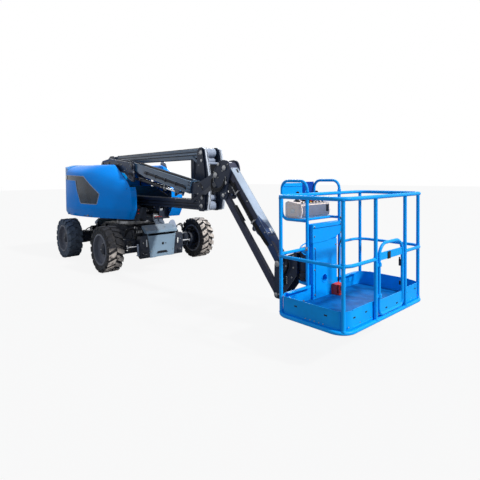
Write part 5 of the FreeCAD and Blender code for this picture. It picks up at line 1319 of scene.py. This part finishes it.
PLAT_Y = -405.0
RAIL_X = (5250.0, 6040.0)
RAIL_HALF_Y = 765.0
RAIL_Y = (PLAT_Y - RAIL_HALF_Y, PLAT_Y + RAIL_HALF_Y)
FLOOR_TOP = 385.0
TUBE_RADIUS = 19.3
MID_RAIL = 934.0
TOP_RAIL = 1497.0        # underside of the top rail's tube
TOE_FACE = (RAIL_X[0] + TUBE_RADIUS, RAIL_X[1] - TUBE_RADIUS)
TOE_SIDE = (RAIL_Y[0] + TUBE_RADIUS, RAIL_Y[1] - TUBE_RADIUS)
TOE_TOP = 541.0
GATE_TUBES = (-600.0, -138.0)
GUARD_HOOPS = (-662.0, -64.0)
BACK_OF_GUARD = 4892.0

# Dark blocks on the toe boards: painted shade of the slots through them
bm = piece("toe_slot_shade", "platform", "rubber")
for y, z in ((-994, 469), (-798, 474), (-2, 484), (196, 490)):
    block(bm, (TOE_FACE[1] - 1, TOE_FACE[1] + 1.2), (y - 16, y + 16), (z - 6, z + 6), 0.5)
for x in (5491, 5830):
    for y in TOE_SIDE:
        block(bm, (x - 16, x + 16), (y - 1.2, y + 1.2), (472, 484), 0.5)
bm = piece("toe_rivets", "platform", "steel")
for x in (5606, 5659, 5708, 5757, 5803):
    knob(bm, (x, RAIL_Y[0] + 20, 392), (0, -1, 0), 6, 3, 1, 12)
    knob(bm, (x, RAIL_Y[1] - 20, 392), (0, 1, 0), 6, 3, 1, 12)
for y in (-1080, -900, -720, -20, 120, 260):
    knob(bm, (TOE_FACE[1] - 1, y, 404), (1, 0, 0), 6, 3, 1, 12)
bm = piece("toe_flanges", "platform", "platform_blue")
for y in ((-1040, -684), (-130, 230)):
    block(bm, (TOE_FACE[0] - 1, TOE_FACE[0] + 46), y, (528, 544), 6)
for y in TOE_SIDE:
    bar(bm, [(RAIL_X[0] + 150, y, TOE_TOP), (RAIL_X[1] - 150, y, TOE_TOP)], 4.5, 8)
for y in ((RAIL_Y[0] + 150, -640), (-100, RAIL_Y[1] - 150)):
    bar(bm, [(TOE_FACE[1], y[0], TOE_TOP), (TOE_FACE[1], y[1], TOE_TOP)], 4.5, 8)
bar(bm, [(TOE_FACE[1], -100, 388), (TOE_FACE[1], RAIL_Y[1] - 150, 388)], 5, 8)
bar(bm, [(TOE_FACE[1], RAIL_Y[0] + 150, 388), (TOE_FACE[1], -640, 388)], 5, 8)

CORNER = 140.0


def rail_loop(inset, steps=8):
    """Points round the platform, drawn in from the rails' middle line."""
    bend = CORNER - inset
    out = []
    for k, (sx, sy) in enumerate(((-1, -1), (1, -1), (1, 1), (-1, 1))):
        x = RAIL_X[0] + CORNER if sx < 0 else RAIL_X[1] - CORNER
        y = RAIL_Y[0] + CORNER if sy < 0 else RAIL_Y[1] - CORNER
        for s in range(steps + 1):
            a = math.radians(180 + 90 * k + 90 * s / steps)
            out.append((x + bend * math.cos(a), y + bend * math.sin(a)))
    return out


bm = piece("toe_skirt", "platform", "platform_blue")
rings = [[bm.verts.new(at(x, y, z)) for x, y in rail_loop(inset)]
         for inset, z in ((18.5, 350), (18.5, 390), (22.0, 390), (22.0, 350))]
for a, b in zip(rings, rings[1:] + rings[:1]):
    for k in range(len(a)):
        j = (k + 1) % len(a)
        bm.faces.new((a[k], a[j], b[j], b[k]))

bm = piece("floor_tread", "platform", "tread_blue")
TREAD_PITCH = 34.0
rows = int((RAIL_X[1] - RAIL_X[0] - 120) / TREAD_PITCH)
columns = int((RAIL_Y[1] - RAIL_Y[0] - 100) / TREAD_PITCH)
for i in range(rows):
    for j in range(columns):
        x = RAIL_X[0] + 66 + i * TREAD_PITCH
        y = RAIL_Y[0] + 56 + j * TREAD_PITCH
        under_panel = x < 5312 and -650 < y < -160
        under_switch = x < 5430 and -330 < y < -164
        if under_panel or under_switch:
            continue
        lean = 1 if (i + j) % 2 else -1
        a, b = Vector((11, 11 * lean, 0)), Vector((-3.38 * lean, 3.38, 0))
        corner = [bm.verts.new(at(x + p[0], y + p[1], FLOOR_TOP - 0.5)) for p in (-a, b, a, -b)]
        peak = bm.verts.new(at(x, y, FLOOR_TOP + 0.9))
        for k in range(4):
            bm.faces.new((corner[k], corner[(k + 1) % 4], peak))
        bm.faces.new(corner[::-1])

bm = piece("rail_collars", "platform", "platform_blue")
bend = CORNER * (1 - math.sqrt(0.5))
posts = [(RAIL_X[1], GATE_TUBES[0] - 62), (RAIL_X[1], GATE_TUBES[1] + 62), (RAIL_X[0], GUARD_HOOPS[0]),
        (RAIL_X[0], GUARD_HOOPS[1])]
posts += [(x, y) for x in (RAIL_X[0] + bend, RAIL_X[1] - bend) for y in (RAIL_Y[0] + bend, RAIL_Y[1] - bend)]
for x, y in posts:
    lathe(bm, (x, y, 374), (0, 0, 1), [(0, 14), (0, 23), (8, 19.5), (8, 14)], 24)
    lathe(bm, (x, y, TOP_RAIL), (0, 0, -1), [(0, 14), (0, 23), (8, 19.5), (8, 14)], 24)
    for z in (MID_RAIL - 22, MID_RAIL + 14):
        lathe(bm, (x, y, z), (0, 0, 1), [(0, 14), (0, 20), (4, 21), (8, 20), (8, 14)], 24)

bm = piece("anchor_loops", "platform", "platform_blue")
bar(bm, [(5244, -64, 990), (5236, -10, 980), (5232, 44, 942), (5236, 0, 884), (5244, -64, 862)], 7, 10, True)
bar(bm, [(5244, -662, 990), (5236, -716, 980), (5232, -760, 942), (5236, -716, 884), (5244, -662, 862)], 7,
        10, True)
bm = piece("rail_end_clamps", "platform", "zinc")
for y in (-700, -26):
    for x in ((5228, 5236), (5264, 5272)):
        block(bm, x, (y - 20, y + 20), (MID_RAIL - 20, MID_RAIL + 20), 3)
    bolt(bm, (5272, y, MID_RAIL), (1, 0, 0), 11)
block(bm, (5252, 5276), (-776, -744), (374, 404), 4)

bm = piece("panel_bolts", "platform", "zinc")
for y in (-600, -214):
    for z in (430, 700, 930):
        bolt(bm, (5300, y, z), (1, 0, 0), 9)
for y in (-610, -120):
    for z in (1060, 1160):
        bolt(bm, (5305, y, z), (1, 0, 0), 9)
# Thin dark strips on the panel's fold lines: painted shade in the folds
bm = piece("panel_fold_shade", "platform", "painted_shade_blue")
plate(bm, [(5301, -592, 405), (5301, -592, 920), (5301, -584, 920), (5301, -584, 405)], -1.2, 0.4)
plate(bm, [(5306, -636, 1150), (5306, -90, 1150), (5306, -90, 1144), (5306, -636, 1144)], -1.2, 0.4)
bm = piece("panel_hole_rim", "platform", "platform_blue")
lathe(bm, (5300, -428, 585), (1, 0, 0), [(-4, 42), (-4, 49), (3, 49), (4, 46), (4, 42), (-4, 42)], 36)
bm = piece("panel_cable", "platform", "hose")
hose(bm, [(5290, -110, 1236), (5316, -104, 1180), (5318, -100, 1060), (5306, -120, 960), (5308, -170, 860),
        (5309, -172, 560),
         (5318, -190, 440), (5330, -236, 420)], 7)

# Dark right part of the sheet behind the console: painted shadow
bm = piece("guard_sheet_painted_shadow", "platform", "painted_shade_blue")
block(bm, (BACK_OF_GUARD + 3, BACK_OF_GUARD + 7), (-300, -82), (1474, 1640), 2)
bm = piece("guard_sheet_fold", "platform", "platform_blue")
block(bm, (BACK_OF_GUARD + 2, BACK_OF_GUARD + 26), (-640, -306), (1470, 1480), 2)
block(bm, (BACK_OF_GUARD + 2, BACK_OF_GUARD + 10), (-630, -310), (1590, 1600), 2)
for y in GUARD_HOOPS:
    lathe(bm, (5250, y, 1530), (0, 0, 1), [(0, 15), (0, 21), (22, 21), (24, 17), (24, 15)], 24)

# Console: face, switches, levers and stop knob

bm = piece("console_panel", "platform", "console_face")
block(bm, (5156, 5161), (-620, -134), (1262, 1384), 3)
bm = piece("console_side_plate", "platform", "console")
block(bm, (4950, 5130), (-642, -637), (1256, 1390), 3)
bm = piece("console_blank_plate", "platform", "plate")
block(bm, (5000, 5060), (-645, -641), (1300, 1340), 1)
bm = piece("console_switches", "platform", "plastic")
for k in range(7):
    y = -560 + k * 62
    lathe(bm, (5100, y, 1408), (0.2, 0, 0.98), [(0, 0), (0, 14), (6, 14), (8, 10), (10, 4), (28, 5),
            (32, 0)], 14)
for y in (-540, -190):
    lathe(bm, (5010, y, 1420), (0.1, 0, 1), [(0, 0), (0, 40), (6, 40), (14, 26), (26, 18), (34, 12), (36, 9),
            (64, 9), (66, 17),
                                             (100, 20), (112, 14), (116, 0)], 24)
block(bm, (4964, 5060), (-440, -270), (1412, 1434), 6)
block(bm, (5150, 5166), (-196, -150), (1300, 1376), 4)
bm = piece("console_tray", "platform", "zinc")
block(bm, (4930, 5140), (-632, -118), (1236, 1245), 3)
bm = piece("stop_knob_base", "platform", "yellow")
lathe(bm, (5076, -372, 1410), (0.15, 0, 1), [(0, 0), (0, 28), (6, 28), (8, 24), (8, 0)], 28)
bm = piece("stop_knob", "platform", "red")
lathe(bm, (5077, -372, 1417), (0.15, 0, 1), [(0, 0), (0, 12), (12, 12), (14, 22), (24, 22), (29, 14),
        (30, 0)], 28)
bm = piece("console_screws", "platform", "steel")
for y in (-604, -150):
    for z in (1274, 1372):
        bolt(bm, (5161, y, z), (1, 0, 0), 6)

# Foot switch: guard open to the front, dark inside, pedal

bm = piece("switch_inside", "platform", "plastic")
block(bm, (5388, 5399), (-296, -198), (408, 484), 2)
bm = piece("switch_frame", "platform", "red")
block(bm, (5380, 5412), (-304, -294), (404, 496), 3)
block(bm, (5380, 5412), (-200, -190), (404, 496), 3)
block(bm, (5378, 5412), (-304, -190), (486, 500), 3)
bm = piece("switch_pedal", "platform", "red")
plate(bm, [(5398, -286, 414), (5410, -286, 430), (5410, -208, 430), (5398, -208, 414)], 6, 1)

# Gate: slots drawn as dark blocks for their painted shade, black latch pad, latch and hinge details

# Dark blocks on the gate's board: painted shade of its slots
bm = piece("gate_slot_shade", "gate", "rubber")
for y, z in ((-468, 443), (-255, 441)):
    block(bm, (6042, 6044.4), (y - 16, y + 16), (z - 6, z + 6), 0.5)
bm = piece("gate_pad", "gate", "plastic")
block(bm, (6044, 6051), (-450, -394), (908, 980), 3)
bm = piece("gate_latch", "gate", "plastic")
block(bm, (6012, 6034), (-160, -140), (792, 858), 5)
block(bm, (6014, 6032), (-158, -140), (598, 640), 5)
knob(bm, (6018, -150, 858), (0, 0, 1), 7, 22, 2, 14)
bm = piece("gate_collars", "gate", "platform_blue")
for z in (560, 892):
    lathe(bm, (6040, GATE_TUBES[0], z), (0, 0, 1), [(0, 12), (0, 19), (7, 19), (7, 12)], 24)
for y in GATE_TUBES:
    inner = y + (12 if y < -400 else -12)
    for z in (916, 976):
        knob(bm, (6045, inner + (10 if y < -400 else -10), z), (1, 0, 0), 7, 3, 1, 12)
bm = piece("gate_stop", "platform", "zinc")
block(bm, (6018, 6034), (-640, -618), (372, 396), 3)
block(bm, (6022, 6040), (-94, -80), (800, 850), 3)

close_all()


# Camera, light and floor

scene = bpy.context.scene
data = bpy.data.cameras.new("camera")
camera = bpy.data.objects.new("camera", data)
scene.collection.objects.link(camera)
scene.camera = camera
RIGHT = Vector((0.6727379630794333, 0.7398285691498268, -0.008793253178135632))
UP = Vector((-0.012339968426078637, 0.023102381461931835, 0.9996569437312135))
AHEAD = Vector((-0.7397779114105653, 0.6723986676373677, -0.024671310231003885))
turn = Matrix((RIGHT, UP, -AHEAD)).transposed().to_4x4()
camera.matrix_world = Matrix.Translation(at(7894.59, -4031.92, 1706.25)) @ turn
data.sensor_width = 36.0
data.lens = 396.3605 / 480 * 36.0
data.shift_y = -(240 - 186.583) / 480
data.clip_end = 200.0

world = bpy.data.worlds.new("world")
scene.world = world
world.use_nodes = True
tree = world.node_tree
tree.nodes.clear()
rays = node(tree, "LightPath")
sky = node(tree, "TexCoord")
height = node(tree, "SeparateXYZ", Vector=sky.outputs["Generated"]).outputs[2]
glow = blended(tree, ramp(tree, height, 0.0, 0.9), (0.10, 0.11, 0.13, 1.0), (0.60, 0.66, 0.76, 1.0))
lit = node(tree, "Background", Color=glow, Strength=1.0)
seen = node(tree, "Background", Color=(1, 1, 1, 1), Strength=1.0)
either = tree.nodes.new("ShaderNodeMath")
either.operation = "MAXIMUM"
tree.links.new(rays.outputs["Is Camera Ray"], either.inputs[0])
tree.links.new(rays.outputs["Is Transmission Ray"], either.inputs[1])
any_seen = tree.nodes.new("ShaderNodeMath")
any_seen.operation = "MAXIMUM"
tree.links.new(either.outputs[0], any_seen.inputs[0])
tree.links.new(rays.outputs["Is Glossy Ray"], any_seen.inputs[1])
mixed = node(tree, "MixShader")
tree.links.new(any_seen.outputs[0], mixed.inputs[0])
tree.links.new(lit.outputs[0], mixed.inputs[1])
tree.links.new(seen.outputs[0], mixed.inputs[2])
out = node(tree, "OutputWorld")
tree.links.new(mixed.outputs[0], out.inputs["Surface"])


def sunlight(name, energy, colour, towards, degrees):
    lamp = bpy.data.lights.new(name, "SUN")
    lamp.energy = energy
    lamp.angle = math.radians(degrees)
    lamp.color = colour
    obj = bpy.data.objects.new(name, lamp)
    obj.rotation_euler = Vector(towards).to_track_quat("Z", "Y").to_euler()
    scene.collection.objects.link(obj)


sunlight("key", 3.4, (1.0, 0.98, 0.95), (0.95, 0.32, 0.85), 5)
sunlight("back", 0.9, (0.92, 0.96, 1.0), (-0.80, 0.70, 0.45), 20)

floor_mesh = bpy.data.meshes.new("floor")
bm = bmesh.new()
bmesh.ops.create_grid(bm, x_segments=1, y_segments=1, size=60.0)
bm.to_mesh(floor_mesh)
bm.free()
floor = bpy.data.objects.new("floor", floor_mesh)
scene.collection.objects.link(floor)
mat = bpy.data.materials.new("floor_pale")
mat.use_nodes = True
tree = mat.node_tree
tree.nodes.clear()
rays = node(tree, "LightPath")
matte = node(tree, "BsdfDiffuse", Color=(0.34, 0.34, 0.34, 1))
bright = node(tree, "Emission", Color=(1, 1, 1, 1), Strength=1.0)
share = multiply(tree, rays.outputs["Is Camera Ray"], 0.90)
mixed = node(tree, "MixShader")
tree.links.new(share, mixed.inputs[0])
tree.links.new(matte.outputs[0], mixed.inputs[1])
tree.links.new(bright.outputs[0], mixed.inputs[2])
out = node(tree, "OutputMaterial")
tree.links.new(mixed.outputs[0], out.inputs["Surface"])
floor_mesh.materials.append(mat)

scene.view_settings.view_transform = "Standard"
